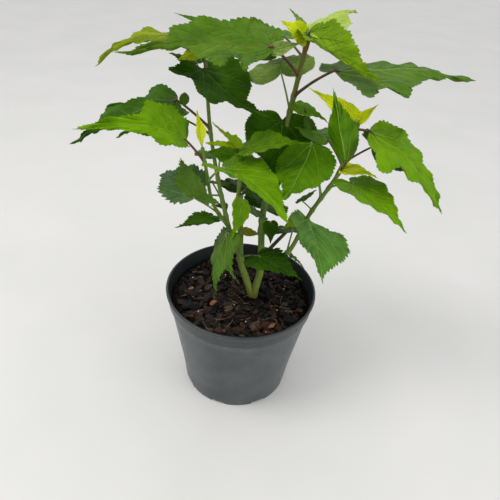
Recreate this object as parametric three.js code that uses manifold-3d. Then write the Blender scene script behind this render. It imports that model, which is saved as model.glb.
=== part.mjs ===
// A young hardy hibiscus in a round nursery pot. Millimetres, +Z up, with the origin in
// the middle of the pot's flat underside.
//
// The pot and the compost are turned shapes. Every shoot is one curve through a few
// places, drawn as a tapering limb, and every leaf is one lobed outline laid on a
// folded and drooping surface. The limbs stay bare up to the height named for each
// shoot. Above it the stem, petioles and leaves are fused into one mass.
import * as THREE from 'three';
import Module from 'manifold-3d';
import { mergeVertices } from 'three/addons/utils/BufferGeometryUtils.js';

const wasm = await Module();
wasm.setup();

// Driving sizes of the pot
const RIM_RADIUS = 85;
const POT_HEIGHT = 134;
const FOOT_RADIUS = 62.5;
const COLLAR_DEPTH = 17;
const COLLAR_STEP = 1.7;
const COLLAR_SLOPE = 1.5;
const WAIST_HEIGHT = 30;
const POT_WALL = 1.5;
const RIM_LIP = 1.2;
const RIM_BEAD = 2.5;
const RIM_SLOPE = 0.5;
const FLOOR_HEIGHT = 3;
const FLOOR_THICKNESS = 2;
const FOOT_RING_WIDTH = 5;
const BOSS_RADIUS = 16;
const BOSS_SLOPE = 1;
const NOTCHES = 8;
const NOTCH_SPAN_DEG = 16;
const NOTCH_HEIGHT = 2;
const NOTCH_START_DEG = -106;
const DRAIN_RADIUS = 4;
const DRAIN_CIRCLE = 44;
const DRAIN_SIDES = 8;
const POT_SIDES = 44;

// Driving sizes of the compost: its top, the rings that the top is drawn with, the radius
// inside which it is level, and how far and how often it rises and falls outside that
const COMPOST_TOP = 121;
const COMPOST_EDGE = 4;
const COMPOST_RINGS = [66, 52, 38, 24];
const COMPOST_SIDES = 30;
const LEVEL_RADIUS = 30;
const COMPOST_RELIEF = 2.2;
const WAVE_ACROSS = 30;
const WAVE_ALONG = 37;
const WAVE_SLANT = 19;

// The gap between solids that rest on or spring from each other
const CLEAR = 0.3;

// Driving sizes of the limbs: how much wider a stem stands in the compost, and for what
// share of its length
const LIMB_SIDES = 8;
const RINGS_PER_SPAN = 2.5;
const FLARE = 2.6;
const FLARE_SHARE = 0.07;

// Driving sizes of the leaves and their petioles: the least thickness of a blade and its
// growth with the length, the radius of a petiole and its growth with the length
const BLADE_LEAST = 0.8;
const BLADE_THICKNESS = 0.012;
const BLADE_RING = 0.55;
const SMALL_LEAF = 40;
const HUB = 0.14;
const SPINE_STEPS = 24;
const PETIOLE_LEAST = 0.55;
const PETIOLE_GROWTH = 0.0045;
const PETIOLE_TAPER = [1.15, 0.8];
const PETIOLE_ARCH = 0.03;
const PETIOLE_STEPS = 3;
const PETIOLE_SIDES = 4;
const PETIOLE_ROOT = 0.05;

// Places that each shoot passes through, its radius at the foot and at the tip, and the
// height above which its leaves belong to the mass at its top. A stem stands in the
// compost, and a bough springs from the shoot that is named for it.
const SHOOTS = {
  left: {
    kind: 'stem',
    through: [[17, 3, 112], [3, 3, 147], [-3, 3, 168], [-5, 1, 209], [-9, -1, 252], [-9, -4, 301]],
    foot: 4.4,
    tip: 1.3,
    bare: 244,
  },
  right: {
    kind: 'stem',
    beside: 'left',
    through: [
      [12, 3, 112], [18, 3, 139], [20, 3, 162], [17, 8, 225], [26, 26, 275], [34, 30, 327], [41, 8, 401],
    ],
    foot: 4.6,
    tip: 1.3,
    bare: 344,
  },
  tall_left: {
    kind: 'bough',
    beside: 'left',
    through: [[-3, 3, 166], [-9, 2, 188], [-17, 0, 210], [-29, 8, 252], [-41, 19, 308], [-48, 28, 373]],
    foot: 2.4,
    tip: 1.2,
    bare: 300,
  },
  low_left: {
    kind: 'bough',
    beside: 'tall_left',
    through: [[-15, 1, 206], [-34, -8, 243], [-40, -20, 284], [-43, -30, 312]],
    foot: 1.9,
    tip: 1.1,
    bare: 262,
  },
  low_right: {
    kind: 'bough',
    beside: 'right',
    through: [[20, 3, 158], [35, 0, 172], [50, -5, 194], [63, -10, 240], [84, -18, 295], [91, -24, 344]],
    foot: 2.6,
    tip: 1.1,
    bare: 264,
  },
  stub: {
    kind: 'bough',
    beside: 'right',
    through: [[20, 4, 172], [32, 3, 192], [43, 2, 209]],
    foot: 2.2,
    tip: 1.8,
    bare: 209,
  },
};

// The leaves of the side that is seen: the shoot, the height of the node, the place of
// the blade's base, turn, dip and roll of its midrib in degrees, its length, its width
// as a share of the length, how deep its lobes are and how heart-shaped its base is (0 to
// 1), its droop and fold in degrees
const LEAVES = [
  ['tall_left', 311, [-72, 13, 338], -180, -26, 11, 120, 0.63, 0, 0, 32, -1],
  ['tall_left', 362, [-49, 23, 366], -39, -15, -3, 84, 0.88, 0.6, 1, -29, 12],
  ['tall_left', 368, [-56, 28, 383], -151, -6, 0, 93, 0.66, 0.7, 0.5, 83, -4],
  ['tall_left', 372, [-54, 26, 380], -157, -18, 60, 22, 0.6, 0.1, 0.5, 0, 15],
  ['tall_left', 350, [-57, 33, 368], 148, 5, 0, 34, 0.7, 0.1, 0.5, 10, 0],
  ['tall_left', 245, [-52, 4, 243], 133, -6, 18, 71, 0.85, 0.4, 0, 86, 0],
  ['low_left', 224, [-34, -4, 226], -137, 5, -8, 47, 0.78, 0, 0.5, -3, 7],
  ['tall_left', 224, [-21, 14, 229], 180, -5, 0, 18, 0.7, 0.2, 0.5, 20, 0],
  ['low_left', 295, [-57, -29, 317], -143, 16, 44, 102, 0.4, 1, 0.6, 86, 24],
  ['low_left', 273, [-24, -37, 298], -38, -17, 16, 80, 1.09, 0, 1, 50, 13],
  ['low_left', 230, [-51, -18, 253], -125, 68, -18, 54, 0.71, 0.2, 0.1, 40, -13],
  ['low_left', 311, [-43, -30, 313], 141, 79, 0, 33, 0.4, 0, 0.5, -10, 20],
  ['left', 297, [-6, -7, 304], -34, 23, -19, 67, 0.79, 0, 1, 11, 15],
  ['left', 300, [-8, -5, 304], -175, 40, 60, 38, 0.42, 0.1, 0.5, -10, 15],
  ['left', 299, [-8, -5, 303], 178, 5, 35, 34, 0.5, 0.1, 0.5, 20, 10],
  ['left', 284, [-14, 4, 293], 164, -7, 0, 33, 0.8, 0.2, 0.5, 20, 0],
  ['left', 250, [-5, -17, 256], -127, -71, -11, 44, 0.67, 0, 0.2, -16, -2],
  ['left', 248, [-4, 3, 254], -28, 21, 0, 24, 0.9, 0.2, 0.5, 20, 0],
  ['left', 172, [16, -18, 190], -40, 2, 1, 58, 0.88, 0, 1, 18, 3],
  ['left', 168, [-18, -17, 214], -132, -81, -27, 77, 0.7, 1, 0.2, 53, -12],
  ['left', 205, [-2, 2, 207], 35, -27, 0, 29, 0.4, 0, 0.5, 20, 0],
  ['right', 368, [12, -9, 397], -170, -4, 15, 130, 0.61, 0.6, 0.8, 26, 8],
  ['right', 347, [64, -16, 384], 13, -3, 2, 134, 0.85, 0, 0, 23, -7],
  ['right', 330, [22, 27, 367], 86, -2, 8, 62, 1.05, 0.3, 1, 25, -35],
  ['right', 310, [28, 30, 321], -87, -56, 12, 68, 1.16, 0.4, 1, -5, 0],
  ['low_right', 262, [56, -4, 314], -109, -12, -2, 86, 0.73, 0.1, 0.2, -41, -14],
  ['right', 336, [38, 22, 338], -12, -20, -5, 36, 0.83, 0.3, 0.5, 28, -8],
  ['right', 398, [39, 6, 403], -146, 29, 70, 33, 0.62, 0.3, 0.5, 20, 10],
  ['right', 400, [39, 8, 408], 148, 40, 6, 24, 0.51, 0.2, 0.4, 23, 4],
  ['right', 396, [41, 8, 405], -57, -6, -15, 97, 0.52, 0, 0.3, -7, 41],
  ['right', 397, [42, 10, 407], 42, 12, 10, 61, 0.93, 0.7, 0.5, 55, -18],
  ['right', 219, [13, -3, 229], -125, 50, 0, 30, 0.9, 0.2, 0.5, 30, 0],
  ['right', 208, [26, 5, 219], -74, -74, 0, 26, 0.7, 0.3, 0.5, 35, 0],
  ['low_right', 292, [85, -33, 309], -124, 58, -27, 95, 0.51, 0.1, 0, 9, 53],
  ['low_right', 343, [91, -22, 345], 154, 21, 45, 54, 0.35, 0.1, 0.5, 20, 10],
  ['low_right', 344, [91, -24, 346], -26, 53, -70, 23, 0.45, 0.1, 0.5, 10, 10],
  ['low_right', 338, [101, -28, 339], -10, -40, -15, 106, 0.67, 0, 0, 49, -1],
  ['low_right', 275, [95, -24, 287], -49, -14, 10, 72, 0.87, 0, 0.9, 24, 6],
  ['low_right', 296, [85, -20, 298], -20, 0, -5, 34, 0.7, 0.3, 0.5, 30, 5],
  ['low_right', 222, [64, -7, 233], -81, -17, 38, 79, 1.49, 0, 0.1, 19, 7],
  ['low_right', 246, [54, -3, 252], -47, 51, 0, 26, 0.9, 0.2, 0.5, 20, 0],
  ['low_right', 190, [51, 6, 178], 17, -49, 0, 32, 0.4, 0.1, 0.5, 30, 0],
];

// The leaves of the far side grow by the seeded rule from the shoot, the height of the
// node and the turn of the petiole that are named here
const FAR_SEED = 20;
const FAR_LEAVES = [
  ['tall_left', 350, 75], ['tall_left', 305, 140], ['tall_left', 262, 92], ['tall_left', 238, 120],
  ['left', 226, 88], ['right', 385, 125], ['right', 300, 80], ['right', 250, 100],
  ['right', 205, 88], ['low_right', 300, 78], ['low_right', 292, 30], ['low_right', 186, 78],
];
const FAR_RISE = 0.35;
const FAR_HEART = 0.7;
const FAR_RANGES = {
  reach: [26, 36],
  swing: [-12, 12],
  dip: [-26, -18],
  roll: [-8, 8],
  length: [62, 84],
  width: [0.7, 0.85],
  lobes: [0.2, 0.6],
  droop: [12, 30],
  fold: [-8, 10],
};

// Outline of one half of a blade of length 1 and width 1, from tip to petiole, of a leaf
// without lobes, of one with deep lobes and of one with a rounded base
const PLAIN_HALF = [
  [1, 0], [0.8, 0.08], [0.62, 0.21], [0.44, 0.36], [0.24, 0.48],
  [0.03, 0.47], [-0.1, 0.33], [-0.11, 0.1], [0, 0],
];
const LOBED_HALF = [
  [1, 0], [0.78, 0.1], [0.58, 0.2], [0.43, 0.5], [0.24, 0.46],
  [0.04, 0.43], [-0.1, 0.31], [-0.11, 0.1], [0, 0],
];
const ROUND_HALF = [
  [1, 0], [0.8, 0.08], [0.62, 0.21], [0.44, 0.36], [0.27, 0.45],
  [0.12, 0.42], [0.03, 0.27], [0, 0.1], [0, 0],
];
const BASE_POINTS = 5;

const FINISHES = {
  pot: { color: 0x4b5052, roughness: 0.45 },
  compost: { color: 0x2a1d16, roughness: 0.95 },
  stem: { color: 0x6e8a45, roughness: 0.6 },
  bough: { color: 0x4c6a28, roughness: 0.6 },
  leaf: { color: 0x4f7d2a, roughness: 0.55 },
};

// Points closer than this are one point, in the turned shapes
const WELD = 1e-4;

// A repeatable stream of numbers between 0 and 1
function seeded(seed) {
  let state = seed;
  return () => {
    state = (state * 16807) % 2147483647;
    return state / 2147483647;
  };
}

function radians(degrees) {
  return (degrees * Math.PI) / 180;
}

function mix(a, b, share) {
  return a + (b - a) * share;
}

// A smooth curve through the given places, with t from 0 to 1
function along(places, t) {
  const last = places.length - 1;
  const whole = Math.min(Math.max(t, 0), 1) * last;
  const i = Math.min(Math.floor(whole), last - 1);
  const w = whole - i;
  return new THREE.Vector3(...[0, 1, 2].map((axis) => {
    const b = places[i][axis];
    const c = places[i + 1][axis];
    const a = i > 0 ? places[i - 1][axis] : 2 * b - c;
    const d = i + 2 <= last ? places[i + 2][axis] : 2 * c - b;
    const bend = (2 * a - 5 * b + 4 * c - d) * w * w;
    return 0.5 * (2 * b + (c - a) * w + bend + (3 * b - a - 3 * c + d) * w * w * w);
  }));
}

// The t at which a rising curve reaches a height
function atHeight(places, height) {
  const halvings = 40;
  let low = 0;
  let high = 1;
  for (let i = 0; i < halvings; i += 1) {
    const middle = (low + high) / 2;
    if (along(places, middle).z < height) low = middle;
    else high = middle;
  }
  return low;
}

// The radius of a shoot at t: an even taper, with a flare where a stem stands in the compost
function shootRadius(shoot, t) {
  const flare = shoot.kind === 'stem' ? FLARE * Math.max(0, 1 - t / FLARE_SHARE) : 0;
  return mix(shoot.foot, shoot.tip, t) + flare;
}

// A closed solid from rings of points, each ring a loop of the same count
function solidFromRings(rings) {
  const sides = rings[0].length;
  const points = rings.flat();
  const triangles = [];
  for (let i = 0; i + 1 < rings.length; i += 1) {
    for (let j = 0; j < sides; j += 1) {
      const a = i * sides + j;
      const b = i * sides + ((j + 1) % sides);
      triangles.push([a, b, b + sides], [a, b + sides, a + sides]);
    }
  }
  const end = (rings.length - 1) * sides;
  for (let j = 1; j + 1 < sides; j += 1) {
    triangles.push([0, j + 1, j], [end, end + j, end + j + 1]);
  }
  return solid(points, triangles);
}

function solid(points, triangles) {
  const vertProperties = new Float32Array(points.flatMap((p) => [p.x, p.y, p.z]));
  const triVerts = new Uint32Array(triangles.flat());
  const made = new wasm.Manifold(new wasm.Mesh({ numProp: 3, vertProperties, triVerts }));
  return made.volume() < 0 ? solid(points, triangles.map(([a, b, c]) => [a, c, b])) : made;
}

function solidFromGeometry(geometry) {
  const bare = geometry.clone();
  bare.deleteAttribute('normal');
  bare.deleteAttribute('uv');
  const merged = mergeVertices(bare, WELD);
  const vertProperties = new Float32Array(merged.attributes.position.array);
  const triVerts = new Uint32Array(merged.index.array);
  return new wasm.Manifold(new wasm.Mesh({ numProp: 3, vertProperties, triVerts }));
}

// A limb: rings of the given radius round a curve, square to it, with flat ends
function limb(curve, radiusAt, steps, sides) {
  const centres = Array.from({ length: steps + 1 }, (_, i) => curve(i / steps));
  let across = new THREE.Vector3(1, 0, 0);
  const rings = centres.map((centre, i) => {
    const before = centres[Math.max(i - 1, 0)];
    const after = centres[Math.min(i + 1, steps)];
    const ahead = after.clone().sub(before).normalize();
    across = across.clone().addScaledVector(ahead, -across.dot(ahead)).normalize();
    const other = ahead.clone().cross(across);
    const radius = radiusAt(i / steps);
    return Array.from({ length: sides }, (_, j) => {
      const angle = (2 * Math.PI * j) / sides;
      return centre.clone()
        .addScaledVector(across, radius * Math.cos(angle))
        .addScaledVector(other, radius * Math.sin(angle));
    });
  });
  return solidFromRings(rings);
}

// A stretch of a shoot, made wider all round by extra
function stretch(shoot, from, to, extra = 0) {
  const spans = (to - from) * (shoot.through.length - 1);
  const steps = Math.max(2, Math.round(spans * RINGS_PER_SPAN));
  return limb(
    (t) => along(shoot.through, mix(from, to, t)),
    (t) => shootRadius(shoot, mix(from, to, t)) + extra,
    steps,
    LIMB_SIDES,
  );
}

// The three directions of a blade: along its midrib, to its left, and out of its face
function bladeAxes(turn, dip, roll) {
  const [a, e, r] = [turn, dip, roll].map(radians);
  const forward = new THREE.Vector3(Math.cos(e) * Math.cos(a), Math.cos(e) * Math.sin(a), Math.sin(e));
  const up = new THREE.Vector3(-Math.sin(e) * Math.cos(a), -Math.sin(e) * Math.sin(a), Math.cos(e));
  const side = up.clone().cross(forward);
  const out = up.multiplyScalar(Math.cos(r)).addScaledVector(side, Math.sin(r));
  return { forward, side: out.clone().cross(forward), out };
}

// The arc of a drooping midrib, turned and scaled so that its chord is 1 long and level
function bladeArc(droop) {
  const total = radians(droop);
  const angles = Array.from({ length: SPINE_STEPS + 1 }, (_, i) => (total * i) / SPINE_STEPS);
  const arc = [[0, 0]];
  for (let i = 0; i < SPINE_STEPS; i += 1) {
    const middle = (angles[i] + angles[i + 1]) / 2;
    const [x, z] = arc[i];
    arc.push([x + Math.cos(middle) / SPINE_STEPS, z - Math.sin(middle) / SPINE_STEPS]);
  }
  const [endX, endZ] = arc[SPINE_STEPS];
  const scale = 1 / Math.hypot(endX, endZ);
  const lift = Math.atan2(endZ, endX);
  const [c, s] = [Math.cos(-lift) * scale, Math.sin(-lift) * scale];
  return {
    places: arc.map(([x, z]) => [x * c - z * s, x * s + z * c]),
    angles: angles.map((angle) => angle + lift),
  };
}

// The place on a leaf's surface at x along its midrib and y to its left, both as shares
// of its length, and the direction out of the face there
function leafSurface(leaf) {
  const { forward, side, out } = bladeAxes(leaf.turn, leaf.dip, leaf.roll);
  const { places, angles } = bladeArc(leaf.droop);
  const fold = radians(leaf.fold);
  return (x, y) => {
    const whole = Math.min(Math.max(x, 0), 1) * SPINE_STEPS;
    const i = Math.min(Math.floor(whole), SPINE_STEPS - 1);
    const w = whole - i;
    const behind = Math.min(x, 0);
    const angle = mix(angles[i], angles[i + 1], w);
    const ahead = mix(places[i][0], places[i + 1][0], w) + behind * Math.cos(angles[0]);
    const rise = mix(places[i][1], places[i + 1][1], w) - behind * Math.sin(angles[0]);
    const normal = out.clone().multiplyScalar(Math.cos(angle)).addScaledVector(forward, Math.sin(angle));
    const place = new THREE.Vector3(...leaf.base)
      .addScaledVector(forward, leaf.length * ahead)
      .addScaledVector(out, leaf.length * rise)
      .addScaledVector(side, leaf.length * y * Math.cos(fold))
      .addScaledVector(normal, leaf.length * Math.abs(y) * Math.sin(fold));
    return { place, normal };
  };
}

function isSmall(leaf) {
  return leaf.length < SMALL_LEAF;
}

// The rim of a blade as a closed loop of [x, y], from the petiole round by the tip
function bladeRim(leaf) {
  const step = isSmall(leaf) ? 2 : 1;
  const half = PLAIN_HALF
    .map(([x, y], i) => {
      const [lobedX, lobedY] = LOBED_HALF[i];
      const [roundX, roundY] = ROUND_HALF[i];
      const heart = i >= PLAIN_HALF.length - BASE_POINTS ? leaf.heart : 1;
      const lobed = [mix(x, lobedX, leaf.lobes), mix(y, lobedY, leaf.lobes)];
      return [mix(roundX, lobed[0], heart), mix(roundY, lobed[1], heart) * leaf.width];
    })
    .filter((_, i) => i % step === 0);
  const right = half.slice().reverse().map(([x, y]) => [x, -y]);
  return [...right, ...half.slice(1, -1)];
}

// A blade: both faces as a fan round the hub, with one ring of quads on all but the
// small ones, closed by the rim
function blade(leaf) {
  const surface = leafSurface(leaf);
  const rim = bladeRim(leaf);
  const count = rim.length;
  const half = Math.max(BLADE_LEAST, BLADE_THICKNESS * leaf.length) / 2;
  const shares = isSmall(leaf) ? [1] : [BLADE_RING, 1];
  const loops = shares.flatMap((share) => rim.map(([x, y]) => [mix(HUB, x, share), y * share]));
  const flat = [[HUB, 0], ...loops];
  const lifted = (by) => flat.map(([x, y]) => {
    const { place, normal } = surface(x, y);
    return place.addScaledVector(normal, by);
  });
  const points = [...lifted(half), ...lifted(-half)];
  const under = flat.length;
  const edge = under - count;
  const triangles = [];
  for (let j = 0; j < count; j += 1) {
    const next = (j + 1) % count;
    const face = [[0, 1 + j, 1 + next]];
    if (shares.length > 1) {
      face.push([1 + j, edge + j, edge + next], [1 + j, edge + next, 1 + next]);
    }
    triangles.push(...face, ...face.map(([a, b, c]) => [a + under, c + under, b + under]));
    triangles.push([edge + j, edge + j + under, edge + next + under]);
    triangles.push([edge + j, edge + next + under, edge + next]);
  }
  return solid(points, triangles);
}

// A petiole from its node up to the blade and a little way along under the midrib
function petiole(leaf, shoot) {
  const node = along(shoot.through, atHeight(shoot.through, leaf.up));
  const base = new THREE.Vector3(...leaf.base);
  const middle = node.clone().lerp(base, 0.5);
  middle.z += PETIOLE_ARCH * node.distanceTo(base);
  const radius = PETIOLE_LEAST + PETIOLE_GROWTH * leaf.length;
  const { place, normal } = leafSurface(leaf)(PETIOLE_ROOT, 0);
  const end = place.addScaledVector(normal, -radius / 2);
  const places = [node, middle, base, end].map((p) => p.toArray());
  const radiusAt = (t) => radius * mix(...PETIOLE_TAPER, t);
  return limb((t) => along(places, t), radiusAt, PETIOLE_STEPS, PETIOLE_SIDES);
}

function leafSolid(leaf) {
  return blade(leaf).add(petiole(leaf, SHOOTS[leaf.shoot]));
}

function seenLeaves() {
  return LEAVES.map(([shoot, up, base, turn, dip, roll, length, width, lobes, heart, droop, fold]) => (
    { shoot, up, base, turn, dip, roll, length, width, lobes, heart, droop, fold }
  ));
}

// Far leaves stand out backwards on a rising petiole and dip away from the shoot
function farLeaves() {
  const random = seeded(FAR_SEED);
  return FAR_LEAVES.map(([shoot, up, turn]) => {
    const ranges = Object.entries(FAR_RANGES);
    const draws = ranges.map(([key, [least, most]]) => [key, mix(least, most, random())]);
    const { reach, swing, ...shape } = Object.fromEntries(draws);
    const node = along(SHOOTS[shoot].through, atHeight(SHOOTS[shoot].through, up));
    const away = new THREE.Vector3(Math.cos(radians(turn)), Math.sin(radians(turn)), FAR_RISE);
    const base = node.addScaledVector(away, reach).toArray();
    return { shoot, up, base, turn: turn + swing, heart: FAR_HEART, ...shape };
  });
}

// The radius of the pot at a height, outside on the line from foot to rim, and inside
function outerRadius(z) {
  return FOOT_RADIUS + ((RIM_RADIUS - FOOT_RADIUS) * z) / POT_HEIGHT;
}

function innerRadius(z) {
  return outerRadius(z) - COLLAR_STEP - POT_WALL;
}

function turned(profile, sides) {
  const lathe = new THREE.LatheGeometry(profile.map(([r, z]) => new THREE.Vector2(r, z)), sides);
  return lathe.rotateX(Math.PI / 2);
}

// The pot, turned in one piece with its collar, then notched and drained at the foot
function potSolid() {
  const collarFoot = POT_HEIGHT - COLLAR_DEPTH;
  const bodyTop = collarFoot - COLLAR_SLOPE;
  const beadFoot = POT_HEIGHT - RIM_BEAD;
  const floorTop = FLOOR_HEIGHT + FLOOR_THICKNESS;
  const ringInside = FOOT_RADIUS - FOOT_RING_WIDTH;
  let pot = solidFromGeometry(turned([
    [0, 0],
    [BOSS_RADIUS, 0],
    [BOSS_RADIUS + BOSS_SLOPE, FLOOR_HEIGHT],
    [ringInside, FLOOR_HEIGHT],
    [ringInside, 0],
    [FOOT_RADIUS, 0],
    [outerRadius(WAIST_HEIGHT) - COLLAR_STEP, WAIST_HEIGHT],
    [outerRadius(bodyTop) - COLLAR_STEP, bodyTop],
    [outerRadius(collarFoot), collarFoot],
    [RIM_RADIUS - RIM_LIP, beadFoot - RIM_SLOPE],
    [RIM_RADIUS, beadFoot],
    [RIM_RADIUS, POT_HEIGHT],
    [RIM_RADIUS - RIM_LIP - POT_WALL, POT_HEIGHT],
    [innerRadius(collarFoot), collarFoot],
    [innerRadius(floorTop), floorTop],
    [0, floorTop],
  ], POT_SIDES));
  for (let i = 0; i < NOTCHES; i += 1) {
    const angle = radians(NOTCH_START_DEG + (i * 360) / NOTCHES);
    const width = FOOT_RADIUS * radians(NOTCH_SPAN_DEG);
    const notch = new THREE.BoxGeometry(3 * FOOT_RING_WIDTH, width, 2 * NOTCH_HEIGHT);
    notch.translate(FOOT_RADIUS, 0, 0);
    notch.rotateZ(angle);
    const drain = new THREE.CylinderGeometry(DRAIN_RADIUS, DRAIN_RADIUS, 3 * FLOOR_HEIGHT, DRAIN_SIDES);
    drain.rotateX(Math.PI / 2);
    drain.translate(DRAIN_CIRCLE * Math.cos(angle), DRAIN_CIRCLE * Math.sin(angle), FLOOR_HEIGHT);
    pot = pot.subtract(solidFromGeometry(notch)).subtract(solidFromGeometry(drain));
  }
  return pot;
}

// How far the compost lies under its top at a place
function compostDip(x, y) {
  const turns = 2 * Math.PI;
  const crossed = Math.sin((turns * x) / WAVE_ACROSS) * Math.cos((turns * y) / WAVE_ALONG);
  const slanted = Math.sin((turns * (x + y)) / WAVE_SLANT);
  return COMPOST_RELIEF * 0.5 * (1 - crossed - slanted);
}

// The compost: a plug that fills the pot, with a mulched top that rises and falls a
// little but is level where the stems stand
function compostSolid() {
  const bottom = FLOOR_HEIGHT + FLOOR_THICKNESS + CLEAR;
  const edge = COMPOST_TOP - COMPOST_EDGE;
  const lathe = turned([
    [0, bottom],
    [innerRadius(bottom) - CLEAR, bottom],
    [innerRadius(edge) - CLEAR, edge],
    ...COMPOST_RINGS.map((radius) => [radius, COMPOST_TOP]),
    [0, COMPOST_TOP],
  ], COMPOST_SIDES);
  const position = lathe.attributes.position;
  for (let i = 0; i < position.count; i += 1) {
    const [x, y, z] = [position.getX(i), position.getY(i), position.getZ(i)];
    if (z > COMPOST_TOP - WELD && Math.hypot(x, y) > LEVEL_RADIUS) {
      position.setZ(i, z - compostDip(x, y));
    }
  }
  return solidFromGeometry(lathe);
}

// Only the largest piece of a solid, without scraps that a cut has left loose
function largest(made) {
  const pieces = made.decompose();
  return pieces.reduce((a, b) => (b.volume() > a.volume() ? b : a));
}

const plant = new THREE.Group();

function addMesh(name, made, finish) {
  const { vertProperties, triVerts } = largest(made).getMesh();
  const geometry = new THREE.BufferGeometry();
  geometry.setAttribute('position', new THREE.BufferAttribute(new Float32Array(vertProperties), 3));
  geometry.setIndex(new THREE.BufferAttribute(new Uint32Array(triVerts), 1));
  geometry.computeVertexNormals();
  const mesh = new THREE.Mesh(geometry, new THREE.MeshStandardMaterial(finish));
  mesh.name = name;
  plant.add(mesh);
}

addMesh('pot', potSolid(), FINISHES.pot);
addMesh('compost', compostSolid(), FINISHES.compost);

// Bare limbs: stems are cut level on the compost, and each limb but the first is cut
// clear of the one beside it
for (const [name, shoot] of Object.entries(SHOOTS)) {
  let bare = stretch(shoot, 0, atHeight(shoot.through, shoot.bare));
  if (shoot.kind === 'stem') bare = bare.trimByPlane([0, 0, 1], COMPOST_TOP + CLEAR);
  if (shoot.beside) bare = bare.subtract(stretch(SHOOTS[shoot.beside], 0, 1, CLEAR));
  addMesh(`${shoot.kind}_${name}`, bare, FINISHES[shoot.kind]);
}

// Leaves above a shoot's bare part are fused to its top, the others stand alone
const leaves = [...seenLeaves(), ...farLeaves()];
for (const [name, shoot] of Object.entries(SHOOTS)) {
  const own = leaves.filter((leaf) => leaf.shoot === name);
  const upper = own.filter((leaf) => leaf.up > shoot.bare);
  if (upper.length > 0) {
    const top = stretch(shoot, atHeight(shoot.through, shoot.bare + CLEAR), 1);
    const mass = upper.reduce((made, leaf) => made.add(leafSolid(leaf)), top);
    addMesh(`foliage_${name}`, mass, FINISHES.leaf);
  }
  own.filter((leaf) => leaf.up <= shoot.bare).forEach((leaf, i) => {
    const single = leafSolid(leaf).subtract(stretch(shoot, 0, 1, CLEAR));
    addMesh(`leaf_${name}_${i + 1}`, single, FINISHES.leaf);
  });
}

export default plant;
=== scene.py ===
import bpy
import bmesh
import math
import numpy as np
from mathutils import Matrix, Vector, noise


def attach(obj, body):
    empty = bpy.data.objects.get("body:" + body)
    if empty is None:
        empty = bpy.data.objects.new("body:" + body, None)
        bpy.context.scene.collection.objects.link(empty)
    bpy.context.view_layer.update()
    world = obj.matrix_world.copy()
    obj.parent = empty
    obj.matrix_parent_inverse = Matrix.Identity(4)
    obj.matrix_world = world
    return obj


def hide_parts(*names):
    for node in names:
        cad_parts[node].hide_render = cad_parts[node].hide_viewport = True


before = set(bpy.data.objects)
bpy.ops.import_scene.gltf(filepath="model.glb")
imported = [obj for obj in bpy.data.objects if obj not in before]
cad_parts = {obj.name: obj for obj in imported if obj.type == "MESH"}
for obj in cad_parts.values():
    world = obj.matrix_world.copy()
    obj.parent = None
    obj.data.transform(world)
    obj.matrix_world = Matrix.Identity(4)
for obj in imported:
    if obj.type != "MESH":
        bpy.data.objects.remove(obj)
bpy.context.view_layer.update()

# The pot: a round grower's pot, injection moulded in dark grey polypropylene. A collar
# stands out below its rolled rim, and the foot ring is notched for drainage. Sizes are in
# millimetres and angles in degrees, here and below, unless a comment says otherwise.
MM = 0.001
RIM_RADIUS = 85.0
POT_HEIGHT = 134.0
FOOT_RADIUS = 62.5
COLLAR_DEPTH = 17.0
COLLAR_STEP = 1.7
WAIST_HEIGHT = 30.0
POT_WALL = 1.5
RIM_LIP = 1.2
FLOOR_HEIGHT = 3.0
FLOOR_THICKNESS = 2.0
FOOT_RING_WIDTH = 5.0
BOSS_RADIUS = 16.0
NOTCHES = 8
NOTCH_SPAN = 16
NOTCH_HEIGHT = 2.0
NOTCH_START = -106
DRAIN_RADIUS = 4.0
DRAIN_CIRCLE = 44.0
POT_SIDES = 360

# The sockets of the two colours that a Mix node mixes
COLOUR_A, COLOUR_B = 6, 7


def linear(colour):
    """An sRGB hex colour as linear red, green, blue and alpha."""
    shares = [int(colour[i:i + 2], 16) / 255 for i in (1, 3, 5)]
    return (*[s / 12.92 if s <= 0.04045 else ((s + 0.055) / 1.055) ** 2.4 for s in shares], 1.0)


def add_node(tree, kind, inputs, stops=(), **settings):
    """Adds a shader node. Its inputs are values, hex colours, sockets, or nodes by their first output."""
    made = tree.nodes.new("ShaderNode" + kind)
    for name, value in settings.items():
        setattr(made, name, value)
    for name, value in inputs.items():
        if isinstance(value, bpy.types.Node):
            value = next(socket for socket in value.outputs if socket.enabled)
        if isinstance(value, bpy.types.NodeSocket):
            tree.links.new(value, made.inputs[name])
        else:
            made.inputs[name].default_value = linear(value) if isinstance(value, str) else value
    for place, _ in stops[1:-1]:
        made.color_ramp.elements.new(place)
    for element, (place, colour) in zip(made.color_ramp.elements if stops else (), stops):
        element.position = place
        element.color = linear(colour)
    return made


def new_material(name):
    """An empty material, its node tree and the place on the object, in metres."""
    made = bpy.data.materials.new(name)
    made.use_nodes = True
    made.node_tree.nodes.clear()
    where = add_node(made.node_tree, "TexCoord", {}).outputs["Object"]
    return made, made.node_tree, where


def mottled_material(name, patch, detail, stops, surface, raggedness=0.5, relief=None):
    """A material with patches of a size in mm, and with relief of a strength and a depth in mm."""
    made, tree, where = new_material(name)
    patches = add_node(tree, "TexNoise", {
        "Vector": where, "Scale": 1 / (patch * MM), "Detail": detail, "Roughness": raggedness})
    inputs = {"Base Color": add_node(tree, "ValToRGB", {"Fac": patches}, stops), **surface}
    if relief:
        strength, depth = relief
        inputs["Normal"] = add_node(tree, "Bump", {
            "Height": patches, "Strength": strength, "Distance": depth * MM})
    shader = add_node(tree, "BsdfPrincipled", inputs)
    add_node(tree, "OutputMaterial", {"Surface": shader})
    return made


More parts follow.
